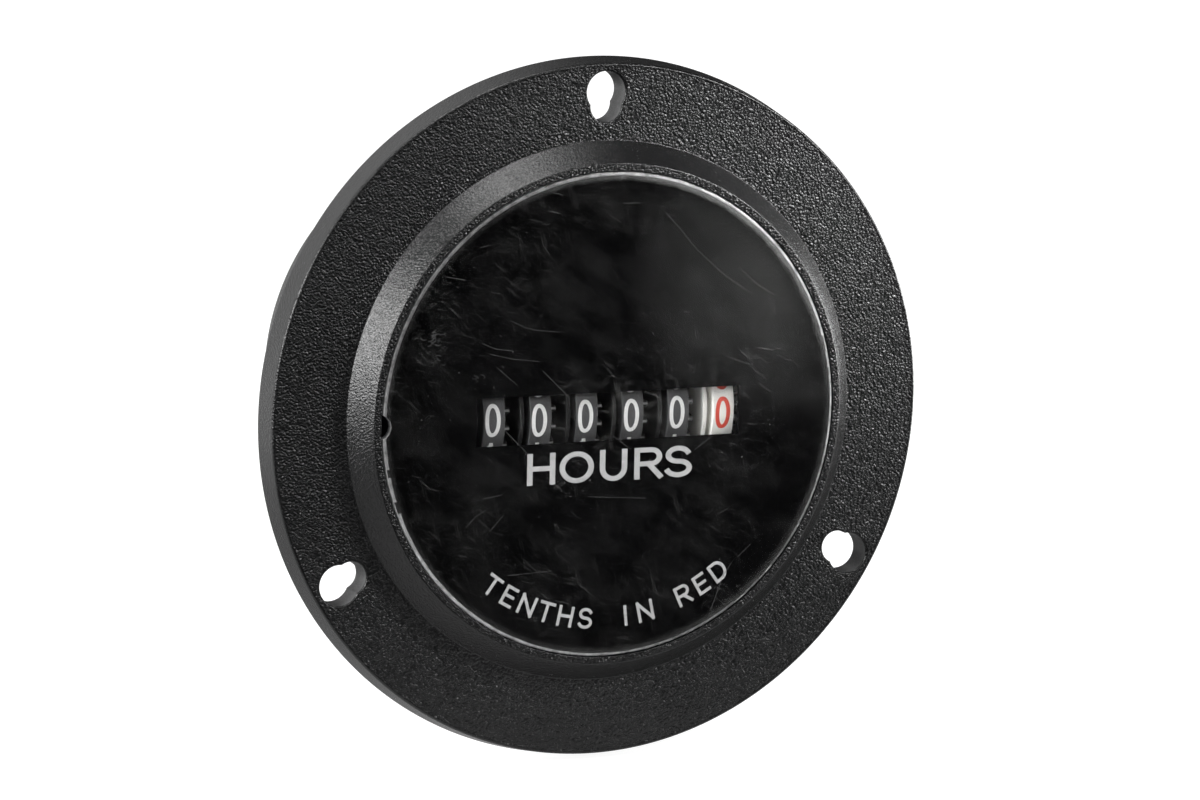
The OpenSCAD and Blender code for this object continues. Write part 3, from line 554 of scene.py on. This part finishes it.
def keyhole(y, grow, turn):
    """Outline of a screw hole and the smaller hole that overlaps it, both grown by the same amount."""
    big, small = HOLE_R + grow, RELIEF_R + grow
    meet = (RELIEF_OFFSET**2 + big**2 - small**2) / (2 * RELIEF_OFFSET)
    big_half = math.acos(meet / big)
    small_half = math.acos((RELIEF_OFFSET - meet) / small)
    points = []
    for k in range(49):
        a = big_half + (math.tau - 2 * big_half) * k / 48
        points.append((HOLE_AT - big * math.cos(a), big * math.sin(a)))
    for k in range(1, 28):
        a = -small_half - (math.tau - 2 * small_half) * k / 28
        points.append((HOLE_AT - RELIEF_OFFSET + small * math.cos(a), small * math.sin(a)))
    c, s = math.cos(turn), math.sin(turn)
    return [(u * c - v * s, y, u * s + v * c) for u, v in points]


def hole_cutter():
    """Three keyholes that open out over a rounded edge at the front and a small one at the back."""
    lip = 0.2
    steps = [(k * math.pi / 8) for k in range(1, 5)]
    sections = [(1.0, 0.1), (0.0, 0.1), (-0.1, 0.0), (FLANGE_FRONT + lip, 0.0)]
    sections += [(FLANGE_FRONT + lip * (1 - math.sin(a)), lip * (1 - math.cos(a))) for a in steps]
    sections += [(FLANGE_FRONT - 1.0, lip)]
    bm = bmesh.new()
    for turn in (90, 210, 330):
        rings = []
        for y, grow in sections:
            ring = [bm.verts.new(p) for p in keyhole(y, grow, math.radians(turn))]
            rings.append([bm.edges.new((ring[i - 1], ring[i])) for i in range(len(ring))])
        for low, high in zip(rings, rings[1:]):
            bmesh.ops.bridge_loops(bm, edges=low + high)
        for end in (rings[0], rings[-1]):
            bmesh.ops.contextual_create(bm, geom=end)
    bmesh.ops.recalc_face_normals(bm, faces=bm.faces)
    return bm


def make_case():
    bm = about_meter(
        rounded(
            [
                (BORE_R, BARREL_END, 0.15),
                (BARREL_R, BARREL_END, 0.3),
                (BARREL_R, 0.0, 0),
                (FLANGE_R, 0.0, 0.15),
                (FLANGE_FACE_R, FLANGE_FRONT, 0.3),
                (CONE_FOOT_R, FLANGE_FRONT, 0.15),
                (CONE_TOP_R, BOSS_FRONT, 0.2),
                (SEAT_R, BOSS_FRONT, 0.06),
                (SEAT_R, DIAL_BACK, 0),
                (BORE_R, DIAL_BACK, 0),
            ]
        ),
        steps=288,
    )
    bm = cut(bm, hole_cutter())
    for x in (-LUG_X, LUG_X):
        block(bm, (x - LUG_HALF, AXLE_Y, LUG_LOW), (x + LUG_HALF, LUG_BACK, LUG_TOP))

    def finish(face):
        middle = face.calc_center_median()
        faces_front = face.normal.y < -0.99
        if faces_front and (middle.y < BOSS_FRONT + 0.1 or abs(middle.y - FLANGE_FRONT) < 0.05):
            return 1
        on_wall = abs(face.normal.y) < 0.9 and middle.y > FLANGE_FRONT + 0.2
        return 2 if on_wall and HOLES_FROM < middle.xz.length < HOLES_TO else 0

    looks = (case_satin, case_grain, case_cut)
    place(bm, "case_moulding", "meter", "case_plastic", looks, ("case",), finish)


make_case()


# Lens and dial


def make_lens():
    bm = about_meter(
        [
            (0, LENS_BACK),
            (LENS_R - 0.05, LENS_BACK),
            (LENS_R, LENS_BACK - 0.05),
            (LENS_R, LENS_FRONT + 0.3),
            (LENS_R - 0.1, LENS_FRONT + 0.09),
            (LENS_R - 0.3, LENS_FRONT),
            (0, LENS_FRONT),
        ],
        steps=360,
        closed=False,
    )
    wear_and_glint = ((0.05, 0.35), (-2.85, 0.15), (-0.8, 0.3))
    for v in bm.verts:
        if v.co.y < LENS_FRONT + 0.01 and v.co.xz.length > 20:
            a = math.atan2(v.co.z, v.co.x)
            near = max(math.exp(-(((a - at) / width) ** 2)) for at, width in wear_and_glint)
            wave = math.sin(31 * a) + math.sin(47 * a + 1) + math.sin(83 * a + 2)
            chip = (0.02 + 0.06 * near) * (1 + wave / 3)
            v.co.xz *= 1 - chip / LENS_R
    notch = bmesh.new()
    rod(notch, (-LENS_R - NOTCH_OUT, -8.0, 0.0), (-LENS_R - NOTCH_OUT, 0.0, 0.0), NOTCH_R)
    bm = cut(bm, notch)

    def finish(face):
        return 0 if abs(face.normal.y) > 0.95 else 1

    place(bm, "lens_disc", "meter", "clear_plastic", (lens_look, edge_look), ("lens",), finish)


def make_dial():
    edge = 0.04
    bm = about_meter(
        [
            (0, DIAL_BACK),
            (LENS_R, DIAL_BACK),
            (LENS_R, DIAL_FRONT + edge),
            (LENS_R - edge, DIAL_FRONT),
            (0, DIAL_FRONT),
        ],
        closed=False,
    )
    window = bmesh.new()
    block(window, (-WINDOW_HALF, -6.0, WINDOW_LOW), (WINDOW_HALF, -3.0, WINDOW_TOP))
    place(cut(bm, window), "dial_face", "meter", "dial_black", (dial_black,), ("dial_plate",))


make_lens()
make_dial()


# Lettering: strokes on a unit square, swept to a width and laid flat or round a wheel


def line(*ends):
    return [Vector(p) for p in ends]


def bow(x, y, rx, ry, start, end, power=2.0):
    """Part of an ellipse, squared up a little where power is above 2."""
    count = max(6, int(abs(end - start) / 9))
    points = []
    for k in range(count + 1):
        a = math.radians(start + (end - start) * k / count)
        c, s = math.cos(a), math.sin(a)
        points.append(
            Vector(
                (
                    x + rx * math.copysign(abs(c) ** (2 / power), c),
                    y + ry * math.copysign(abs(s) ** (2 / power), s),
                )
            )
        )
    return points


STROKES = {
    "0": [bow(0.5, 0.5, 0.5, 0.5, 0, 360, 2.15)],
    "1": [line((0.5, 0), (0.5, 1)), line((0.5, 0.97), (0.1, 0.8))],
    "2": [bow(0.5, 0.7, 0.5, 0.3, 165, -30) + line((0, 0.02)), line((0, 0), (1, 0))],
    "3": [bow(0.46, 0.75, 0.44, 0.25, 155, -90), bow(0.46, 0.26, 0.54, 0.26, 90, -155)],
    "4": [line((0.74, 0), (0.74, 1)), line((0.74, 1), (0, 0.3)), line((0, 0.3), (1, 0.3))],
    "5": [line((0.92, 1), (0.12, 1)), line((0.14, 1), (0.04, 0.5)), bow(0.46, 0.33, 0.54, 0.33, 140, -150)],
    "6": [bow(0.5, 0.32, 0.5, 0.32, 0, 360), line((0, 0.32)) + bow(0.5, 0.7, 0.5, 0.3, 180, 25)],
    "7": [line((0, 1), (1, 1)), line((1, 1), (0.3, 0))],
    "8": [bow(0.5, 0.76, 0.42, 0.24, 0, 360), bow(0.5, 0.26, 0.5, 0.26, 0, 360)],
    "9": [bow(0.5, 0.68, 0.5, 0.32, 0, 360), line((1, 0.68)) + bow(0.5, 0.3, 0.5, 0.3, 0, -155)],
    "D": [line((0, 0), (0, 1)), line((0, 1)) + bow(0.45, 0.5, 0.55, 0.5, 90, -90) + line((0, 0))],
    "E": [line((0, 0), (0, 1)), line((0, 0), (1, 0)), line((0, 0.52), (0.9, 0.52)), line((0, 1), (1, 1))],
    "H": [line((0, 0), (0, 1)), line((1, 0), (1, 1)), line((0, 0.52), (1, 0.52))],
    "I": [line((0.5, 0), (0.5, 1))],
    "N": [line((0, 0), (0, 1)), line((0, 1), (1, 0)), line((1, 0), (1, 1))],
    "O": [bow(0.5, 0.5, 0.5, 0.5, 0, 360)],
    "R": [
        line((0, 0), (0, 1)),
        line((0, 1)) + bow(0.6, 0.74, 0.36, 0.26, 90, -90) + line((0, 0.48)),
        line((0.5, 0.48), (1, 0)),
    ],
    "S": [bow(0.5, 0.755, 0.45, 0.245, 22, 270) + bow(0.5, 0.255, 0.5, 0.255, 90, -158)],
    "T": [line((0, 1), (1, 1)), line((0.5, 0), (0.5, 1))],
    "U": [line((0, 1)) + bow(0.5, 0.4, 0.5, 0.4, 180, 360) + line((1, 1))],
}


def swept(paths, width, thick=INK, widen=1.0):
    """Flat strokes along paths of (x, y) points, in millimetres, with upright ones widened, as a bmesh."""
    curve = bpy.data.curves.new("strokes", "CURVE")
    curve.dimensions = "3D"
    curve.bevel_depth = width / 2
    curve.bevel_resolution = 0
    curve.use_fill_caps = True
    for path in paths:
        closed = (path[0] - path[-1]).length < 1e-6
        if not closed:
            first = path[0] + (path[0] - path[1]).normalized() * width / 2
            last = path[-1] + (path[-1] - path[-2]).normalized() * width / 2
            path = [first, *path[1:-1], last]
        dense = []
        for a, b in zip(path, path[1:]):
            count = max(1, math.ceil((b - a).length / 0.15))
            dense += [a.lerp(b, k / count) for k in range(count)]
        dense += [] if closed else [last]
        run = curve.splines.new("POLY")
        run.points.add(len(dense) - 1)
        for point, p in zip(run.points, dense):
            point.co = (p.x / widen, p.y, 0, 1)
        run.use_cyclic_u = closed
    drawn = bpy.data.objects.new("strokes", curve)
    scene.collection.objects.link(drawn)
    bm = bmesh.new()
    bm.from_mesh(drawn.evaluated_get(bpy.context.evaluated_depsgraph_get()).to_mesh())
    bpy.data.objects.remove(drawn)
    bpy.data.curves.remove(curve)
    bmesh.ops.scale(bm, vec=(widen, 1, thick / width), verts=bm.verts)
    return bm


def letter(sign, x, y, wide, tall, stroke):
    """A sign's paths, filling a box of that width and height from its lower left corner."""
    return [
        [
            Vector((x + stroke / 2 + p.x * (wide - stroke), y + stroke / 2 + p.y * (tall - stroke)))
            for p in path
        ]
        for path in STROKES[sign]
    ]


def make_digits(i):
    """Ten digits round a wheel's band, counting up as its front moves up."""
    tilt = (0.75, -1.4, 0.15, -1.2, -0.75, -3.3)[i]
    wide, tall, stroke, shift = (1.65, 3.38, 0.44, -0.1) if i == LAST else (1.68, 3.42, 0.41, -0.17)
    paths = []
    for k in range(10):
        for path in letter(str(k), shift - wide / 2, -tall / 2, wide, tall, stroke):
            lift = math.radians(tilt - 36 * k) * WHEEL_R
            paths.append([p + Vector((0, lift)) for p in path])
    bm = swept(paths, stroke)
    for v in bm.verts:
        a, r = v.co.y / WHEEL_R, WHEEL_R + INK / 2 + v.co.z
        v.co = (WHEEL_X[i] + v.co.x, AXLE_Y - r * math.cos(a), AXLE_Z + r * math.sin(a))
    bmesh.ops.recalc_face_normals(bm, faces=bm.faces)
    ink, slot = (print_red, "wheel_white") if i == LAST else (print_white, "wheel_dark")
    place(bm, f"{WHEELS[i]}_digits", WHEELS[i], slot, (ink,))


def lay_flat(bm, name, ink):
    """Turns flat lettering to face the viewer, on the front of the dial."""
    for v in bm.verts:
        v.co = (v.co.x, DIAL_FRONT - INK / 2 - v.co.z, v.co.y)
    bmesh.ops.recalc_face_normals(bm, faces=bm.faces)
    place(bm, name, "meter", "dial_black", (ink,))


def make_legends():
    low, tall, stroke = -6.85, 3.25, 0.5
    spans = (("H", -8.9, -5.8), ("O", -5.35, -1.55), ("U", -0.92, 2.13), ("R", 2.9, 6.1), ("S", 6.25, 9.35))
    paths = []
    for sign, x0, x1 in spans:
        paths += letter(sign, x0 + 0.06, low, x1 - x0 - 0.12, tall, stroke)
    lay_flat(swept(paths, stroke, widen=1.22), "hours_legend", print_grey)

    radius, tall, stroke, pitch = 21.0, 2.15, 0.32, 6.1
    words = "TENTHS IN RED"
    wide = {"I": 0.4, "T": 1.75, "H": 1.7, "N": 1.8, "E": 1.45, "S": 1.6, "R": 1.7, "D": 1.75}
    paths = []
    for k, sign in enumerate(words):
        if sign == " ":
            continue
        turn = math.radians((k - (len(words) - 1) / 2) * pitch)
        spot = Matrix.Rotation(turn, 2)
        for path in letter(sign, -wide[sign] / 2, -radius - tall / 2, wide[sign], tall, stroke):
            paths.append([spot @ p for p in path])
    lay_flat(swept(paths, stroke), "tenths_legend", print_grey)


SCRATCHES = (
    ((-11.2, 10.2), (-9.8, 9.5), (-8.4, 9.1), (-5.8, 8.8)),
    ((-14.2, 8.0), (-12.8, 7.4), (-10.9, 7.1)),
    ((-12.6, 5.5), (-10.4, 3.6)),
    ((-7.6, 4.9), (-4.6, 2.0)),
    ((-18.2, 14.9), (-16.2, 14.5)),
    ((-14.6, 17.7), (-13.7, 17.9)),
    ((-13.4, 6.9), (-11.0, 6.3), (-8.0, 5.9)),
    ((-7.8, 17.7), (-7.1, 16.7)),
    ((5.7, 20.4), (7.4, 18.6), (9.0, 16.7), (10.6, 15.3), (12.1, 14.0), (13.7, 12.9), (15.6, 11.7)),
    ((13.9, 14.6), (15.9, 12.8), (17.9, 11.6)),
    ((10.7, 15.2), (11.5, 15.7)),
    ((0.9, 21.6), (2.7, 21.6)),
    ((12.7, 5.5), (14.5, 4.8), (15.6, 4.5)),
    ((16.4, 2.5), (17.7, 1.6)),
    ((8.4, 4.8), (8.9, 4.4)),
    ((-11.7, -0.9), (-9.2, -3.4)),
    ((-15.7, -10.6), (-14.8, -9.6), (-13.7, -9.0)),
    ((-13.1, -11.1), (-11.7, -9.6)),
    ((-11.1, -15.8), (-6.4, -15.6)),
    ((-2.4, -8.2), (3.9, -8.7)),
    ((-14.0, -7.8), (-11.9, -7.5)),
    ((9.3, -4.0), (11.2, -2.7)),
    ((14.4, -15.4), (15.8, -14.2)),
    ((13.7, -16.0), (12.8, -17.3), (12.0, -19.4), (11.5, -20.7)),
    ((12.0, -10.8), (13.2, -10.3)),
    ((0.0, -1.9), (2.2, -3.6)),
)
SPECKS = (
    ((-7.9, 10.5), (-10.8, 9.2), (-17.0, 13.8), (-12.6, 10.7), (-15.2, 15.7), (-3.5, 3.7), (8.3, 10.3))
    + ((11.5, 10.2), (14.2, 7.2), (4.6, 6.9), (3.3, 6.7), (5.9, 6.5), (15.6, -11.8), (13.6, -10.4))
    + ((-20.1, -5.1), (-13.7, -13.9), (-11.3, -14.2), (-15.6, -7.5), (-19.6, 8.8), (-20.1, 7.3))
    + ((-18.3, 9.2),)
)
SCUFFS = ((-19.4, 8.6, 1.2, 16), (-19.0, 6.4, 0.8, 7), (-14.9, 4.4, 0.6, 6))


def make_scratches():
    """The lens's longer scratches, its specks and its scuffs, as thin pale strokes on its front."""
    paths = [line(*ends) for ends in SCRATCHES]
    for x, z, reach, count in SCUFFS:
        for _ in range(count):
            spot = Vector((chance.gauss(x, reach / 2), chance.gauss(z, reach / 2)))
            size, start = chance.uniform(0.15, 0.4), chance.uniform(0, 360)
            paths.append(bow(spot.x, spot.y, size, size * 0.7, start, start + chance.uniform(60, 170)))
    for x, z in SPECKS:
        lean = chance.uniform(-0.1, 0.1)
        paths.append(line((x - 0.1, z - lean), (x, z + 0.05), (x + 0.1, z + lean)))
    bm = swept(paths, 0.042, 0.002)
    for v in bm.verts:
        v.co = (v.co.x, LENS_FRONT - 0.002 - v.co.z, v.co.y)
    bmesh.ops.recalc_face_normals(bm, faces=bm.faces)
    place(bm, "lens_scratches", "meter", "clear_plastic", (scratch_pale,))


for i in range(len(WHEELS)):
    make_digits(i)
make_legends()
make_scratches()


# Number wheels


def gear_outline(teeth, module, tip, root, phase):
    """Straight-flanked teeth about the axle, as points across the meter."""
    pressure, share = math.radians(20), 0.86
    pitch = teeth * module / 2
    base = pitch * math.cos(pressure)

    def inv(a):
        return math.tan(a) - a

    def flank(r):
        lean = inv(math.acos(base / r)) if r > base else 0.0
        return share * math.pi / (2 * teeth) + inv(pressure) - lean

    inner, outer = pitch - root * module, pitch + tip * module
    points = []
    for k in range(teeth):
        mid = math.radians(phase) + math.tau * k / teeth
        for r, side in ((inner, -1), (outer, -1), (outer, 1), (inner, 1)):
            a = mid + side * flank(r)
            points.append((AXLE_Y + r * math.cos(a), AXLE_Z + r * math.sin(a)))
    return points


def make_wheel(i):
    """Locking disc, groove, number band, gear and hub of one wheel."""
    x, last = WHEEL_X[i], i == LAST
    disc = x - DISC_OFFSET
    left = -HUB_END if i == 0 else disc
    right = HUB_END if last else disc + WHEEL_PITCH - HUB_GAP
    bm = about_axle(
        rounded(
            [
                (left, WHEEL_BORE_R, 0),
                (left, HUB_R, 0.1 if i == 0 else 0),
                (disc, HUB_R, 0),
                (disc, DISC_R, 0.08),
                (disc + DISC_T, DISC_R, 0.08),
                (disc + DISC_T, GROOVE_R, 0),
                (x - BAND_HALF, GROOVE_R, 0),
                (x - BAND_HALF, WHEEL_R, 0.1),
                (x + BAND_HALF, WHEEL_R, 0.1),
                (x + BAND_HALF, HUB_R, 0),
                (right, HUB_R, 0.1),
                (right, WHEEL_BORE_R, 0),
            ],
            steps=4,
        )
    )
    if i:
        notch, away = bmesh.new(), math.radians(36)
        at = (AXLE_Y + DISC_R * math.cos(away), AXLE_Z + DISC_R * math.sin(away))
        rod(notch, (disc - 1, *at), (disc + DISC_T + 0.02, *at), 1.1)
        bm = cut(bm, notch)
    teeth, phase = (32, -20 + 180 / 32) if last else (20, 54 + 9)
    module = 2 * GEAR_PITCH_R / teeth
    corners = gear_outline(teeth, module, GEAR_TIP, GEAR_ROOT, phase)
    round_tip = (0, 0.3 * module, 0.3 * module, 0)
    outline = rounded([(*p, round_tip[k % 4]) for k, p in enumerate(corners)], steps=4)
    start = x + BAND_HALF - GEAR_OVERLAP
    prism(bm, [(start, *p) for p in outline], (GEAR_OVERLAP + GEAR_W, 0, 0))
    crest = GEAR_PITCH_R + (GEAR_TIP - 0.015) * module
    if last:
        looks, slot = (wheel_white, wheel_white, wheel_black_painted_shade, tooth_painted_highlight), "wheel_white"
    else:
        looks, slot = (wheel_dark, wheel_black_painted_shade, wheel_black_painted_shade, tooth_painted_highlight), "wheel_dark"

    def finish(face):
        middle = face.calc_center_median()
        away = math.hypot(middle.y - AXLE_Y, middle.z - AXLE_Z)
        if away > DISC_R + 0.05:
            return 0
        # Left of the band: near-black on the dark wheels, a painted shade; white on the tenths wheel.
        if middle.x < x + BAND_HALF - 0.05:
            return 1
        # Gear: grey on its tooth crests, a painted highlight, and near-black below them.
        return 3 if away > crest else 2

    place(bm, f"{WHEELS[i]}_number_wheel", WHEELS[i], slot, looks, (f"{WHEELS[i]}_wheel",), finish)


for i in range(len(WHEELS)):
    make_wheel(i)


# Back: closing cover and blade terminals

COVER_R, COVER_END, PAD_END, PAD_HALF, PAD_RISE = 24.8, 29.0, 30.2, 9.6, 5.375
RIB_OUT_R, RIB_IN_R, RIB_LEN = 23.75, 22.25, 2.0
POST_AT, POST_R, POST_FRONT, POST_BACK = 19.3, 2.5, 24.6, 27.5
BLADE_X, BLADE_HALF, BLADE_T, BLADE_OUT, TAIL_FRONT = 7.0, 3.175, 0.8, 8.0, 22.2
LATCH_R, LATCH_FROM_TIP = 0.8, 4.0


def make_cover():
    bm = about_meter(
        rounded(
            [
                (0, COVER_END, 0),
                (COVER_R - 0.6, COVER_END, 0.2),
                (COVER_R, COVER_END - 0.6, 0.2),
                (COVER_R, BARREL_END, 0),
                (RIB_OUT_R, BARREL_END, 0),
                (RIB_OUT_R, BARREL_END - RIB_LEN, 0),
                (RIB_IN_R, BARREL_END - RIB_LEN, 0),
                (RIB_IN_R, BARREL_END, 0),
                (0, BARREL_END, 0),
            ]
        ),
        closed=False,
    )
    block(bm, (-PAD_HALF, COVER_END - 0.5, -PAD_RISE), (PAD_HALF, PAD_END, PAD_RISE), 0.25)
    for a in (75, 165, 255):
        x, z = POST_AT * math.cos(math.radians(a)), POST_AT * math.sin(math.radians(a))
        rod(bm, (x, POST_FRONT, z), (x, POST_BACK, z), POST_R)
    place(bm, "cover_moulding", "meter", "case_plastic", (case_satin,), ("rear_cover",))


def make_terminal(name, x):
    """Tinned blade with a tapered tip, a latching hole and a narrow tail."""
    tip, taper, tail = PAD_END + BLADE_OUT, 1.3, 1.0
    outline = [(TAIL_FRONT, -tail), (BARREL_END, -tail), (BARREL_END, -BLADE_HALF)]
    outline += [(tip - taper, -BLADE_HALF), (tip, taper - BLADE_HALF), (tip, BLADE_HALF - taper)]
    outline += [(tip - taper, BLADE_HALF), (BARREL_END, BLADE_HALF), (BARREL_END, tail), (TAIL_FRONT, tail)]
    bm = bmesh.new()
    prism(bm, [(x - BLADE_T / 2, y, z) for y, z in outline], (BLADE_T, 0, 0))
    latch = bmesh.new()
    rod(latch, (x - 2, tip - LATCH_FROM_TIP, 0), (x + 2, tip - LATCH_FROM_TIP, 0), LATCH_R)
    bm = cut(bm, latch)
    rims = [e for e in bm.edges if len(e.link_faces) == 2 and e.calc_face_angle() > 0.6]
    bmesh.ops.bevel(bm, geom=rims, offset=0.07, segments=2, profile=0.5, affect="EDGES", material=-1)
    place(bm, f"{name}_blade", "meter", "tinned_brass", (tinned_brass,), (name,))


make_cover()
make_terminal("terminal_left", -BLADE_X)
make_terminal("terminal_right", BLADE_X)


# Camera, floor and lamps

AIM = Vector((0, FLANGE_FRONT, 0)) * MM
CAMERA_AWAY, CAMERA_LIFT, CAMERA_SHIFT, CAMERA_LENS = 0.5909, 0.001168, -0.000112, 174.58
FLOOR_Z, CARD_Z = -0.0362, -0.0358
azimuth, elevation, roll = math.radians(-23.66), math.radians(9.41), math.radians(1.01)
towards = Vector(
    (
        math.sin(azimuth) * math.cos(elevation),
        -math.cos(azimuth) * math.cos(elevation),
        math.sin(elevation),
    )
)
level = Vector((math.cos(azimuth), math.sin(azimuth), 0))
upright = towards.cross(level)
right = level * math.cos(roll) + upright * math.sin(roll)
up = upright * math.cos(roll) - level * math.sin(roll)
spot = AIM + towards * CAMERA_AWAY
back = (spot - (AIM + up * CAMERA_LIFT + right * CAMERA_SHIFT)).normalized()
right = up.cross(back).normalized()
camera = bpy.data.objects.new("camera", bpy.data.cameras.new("camera"))
camera.data.lens = CAMERA_LENS
camera.data.clip_start = 0.01
turned_to = Matrix((right, back.cross(right), back)).transposed().to_4x4()
camera.matrix_world = Matrix.Translation(spot) @ turned_to
scene.collection.objects.link(camera)
scene.camera = camera


def make_floor():
    """Pale floor that reads white where nothing shades it, its glow seen in reflections painted dimmer just
    behind the meter as a painted shadow.
    """
    bm = bmesh.new()
    low = Matrix.Translation((0, 0, FLOOR_Z))
    bmesh.ops.create_circle(bm, cap_ends=True, segments=96, radius=3.0, matrix=low)
    floor = to_object(bm, "floor")
    look, tree, shader = finish_of("floor")
    shader.inputs["Base Color"].default_value = (0.25, 0.25, 0.25, 1)
    shader.inputs["Roughness"].default_value = 0.9
    shader.inputs["Emission Color"].default_value = (1, 1, 1, 1)
    path = node(tree, "ShaderNodeLightPath").outputs
    seen = maths(tree, "MAXIMUM", path["Is Camera Ray"], path["Is Transmission Ray"])
    at = object_place(tree)
    glow = spread(tree, measured(tree, "LENGTH", at), 0.1, 0.4, 0.92, 1.0)
    behind = node(tree, "ShaderNodeSeparateXYZ", {0: at}).outputs["Y"]
    # Painted shadow: the floor's glow seen in reflections drops just behind the meter, under its barrel.
    painted_shadow_glow = spread(tree, behind, 0.004, 0.018, 0.36, 0.12)
    beyond = spread(tree, behind, 0.06, 0.2, 0.0, 1.0)
    mirrored = maths(tree, "MULTIPLY", path["Is Glossy Ray"], maths(tree, "ADD", painted_shadow_glow, beyond))
    seen = maths(tree, "ADD", maths(tree, "MULTIPLY", seen, glow), mirrored)
    tree.links.new(seen, shader.inputs["Emission Strength"])
    floor.data.materials.append(look)


def make_card():
    """Card lying in front of the meter, there only for reflections: black where the lens mirrors it, a
    painted dark reflection, and glowing towards its right, a painted bright reflection.
    """
    bm = bmesh.new()
    corners = ((-0.8, -0.02), (0.8, -0.02), (1.1, -1.3), (-1.0, -1.3))
    prism(bm, [(x, y, CARD_Z) for x, y in corners], (0, 0, 0.0002))
    card = to_object(bm, "reflection_card")
    look, tree, shader = finish_of("reflection_card")
    shader.inputs["Base Color"].default_value = (0.004, 0.004, 0.004, 1)
    shader.inputs["Roughness"].default_value = 1.0
    shader.inputs["Specular IOR Level"].default_value = 0.0
    shader.inputs["Emission Color"].default_value = (1, 1, 1, 1)
    at = object_place(tree)
    # Painted reflection: the card glows towards its right, seen only in reflections.
    across = measured(tree, "DOT_PRODUCT", at, (1.0, 0.438, 0.0))
    tree.links.new(spread(tree, across, 0.038, 0.055, 0.0, 1.4), shader.inputs["Emission Strength"])
    card.data.materials.append(look)
    card.visible_camera = card.visible_diffuse = card.visible_shadow = False


def lamp(name, way, distance, wide, tall, power, aim=AIM, beam=180):
    """A softbox that looks at the meter from a direction."""
    data = bpy.data.lights.new(name, "AREA")
    data.shape, data.size, data.size_y, data.energy = "RECTANGLE", wide, tall, power
    data.spread = math.radians(beam)
    made = bpy.data.objects.new(name, data)
    stand = AIM + Vector(way).normalized() * distance
    facing = (stand - aim).to_track_quat("Z", "Y").to_matrix().to_4x4()
    made.matrix_world = Matrix.Translation(stand) @ facing
    scene.collection.objects.link(made)


make_floor()
make_card()
lamp("left_softbox", (-0.905, -0.24, 0.31), 0.7, 0.2, 0.38, 5.3)
lamp("top_left_softbox", (-0.13, -0.13, 0.98), 0.7, 0.38, 0.22, 2.9)
lamp("front_fill", (0.36, -0.82, 0.6), 0.9, 0.6, 0.4, 0.9)
lamp("left_fill", (-0.6, -0.75, 0.35), 0.9, 0.5, 0.4, 1.3)
lamp("right_softbox", (0.7, -0.5, 0.5), 0.14, 0.05, 0.05, 0.0122, Vector((0.022, -0.003, 0.018)), 32)
lamp("right_edge_softbox", (0.985, 0.06, 0.08), 0.3, 0.1, 0.1, 0.65)
world = bpy.data.worlds.new("studio")
world.use_nodes = True
sky = world.node_tree
way = node(sky, "ShaderNodeTexCoord").outputs["Generated"]
way = measured(sky, "DOT_PRODUCT", way, (-0.65, 0.7, 0.3))
sky.nodes["Background"].inputs["Color"].default_value = (1, 1, 1, 1)
seen = node(sky, "ShaderNodeLightPath").outputs["Is Camera Ray"]
shine = maths(sky, "MAXIMUM", seen, spread(sky, way, 0.45, 0.85, 0.05, 1.15))
sky.links.new(shine, sky.nodes["Background"].inputs["Strength"])
scene.world = world
scene.view_settings.view_transform = "Standard"
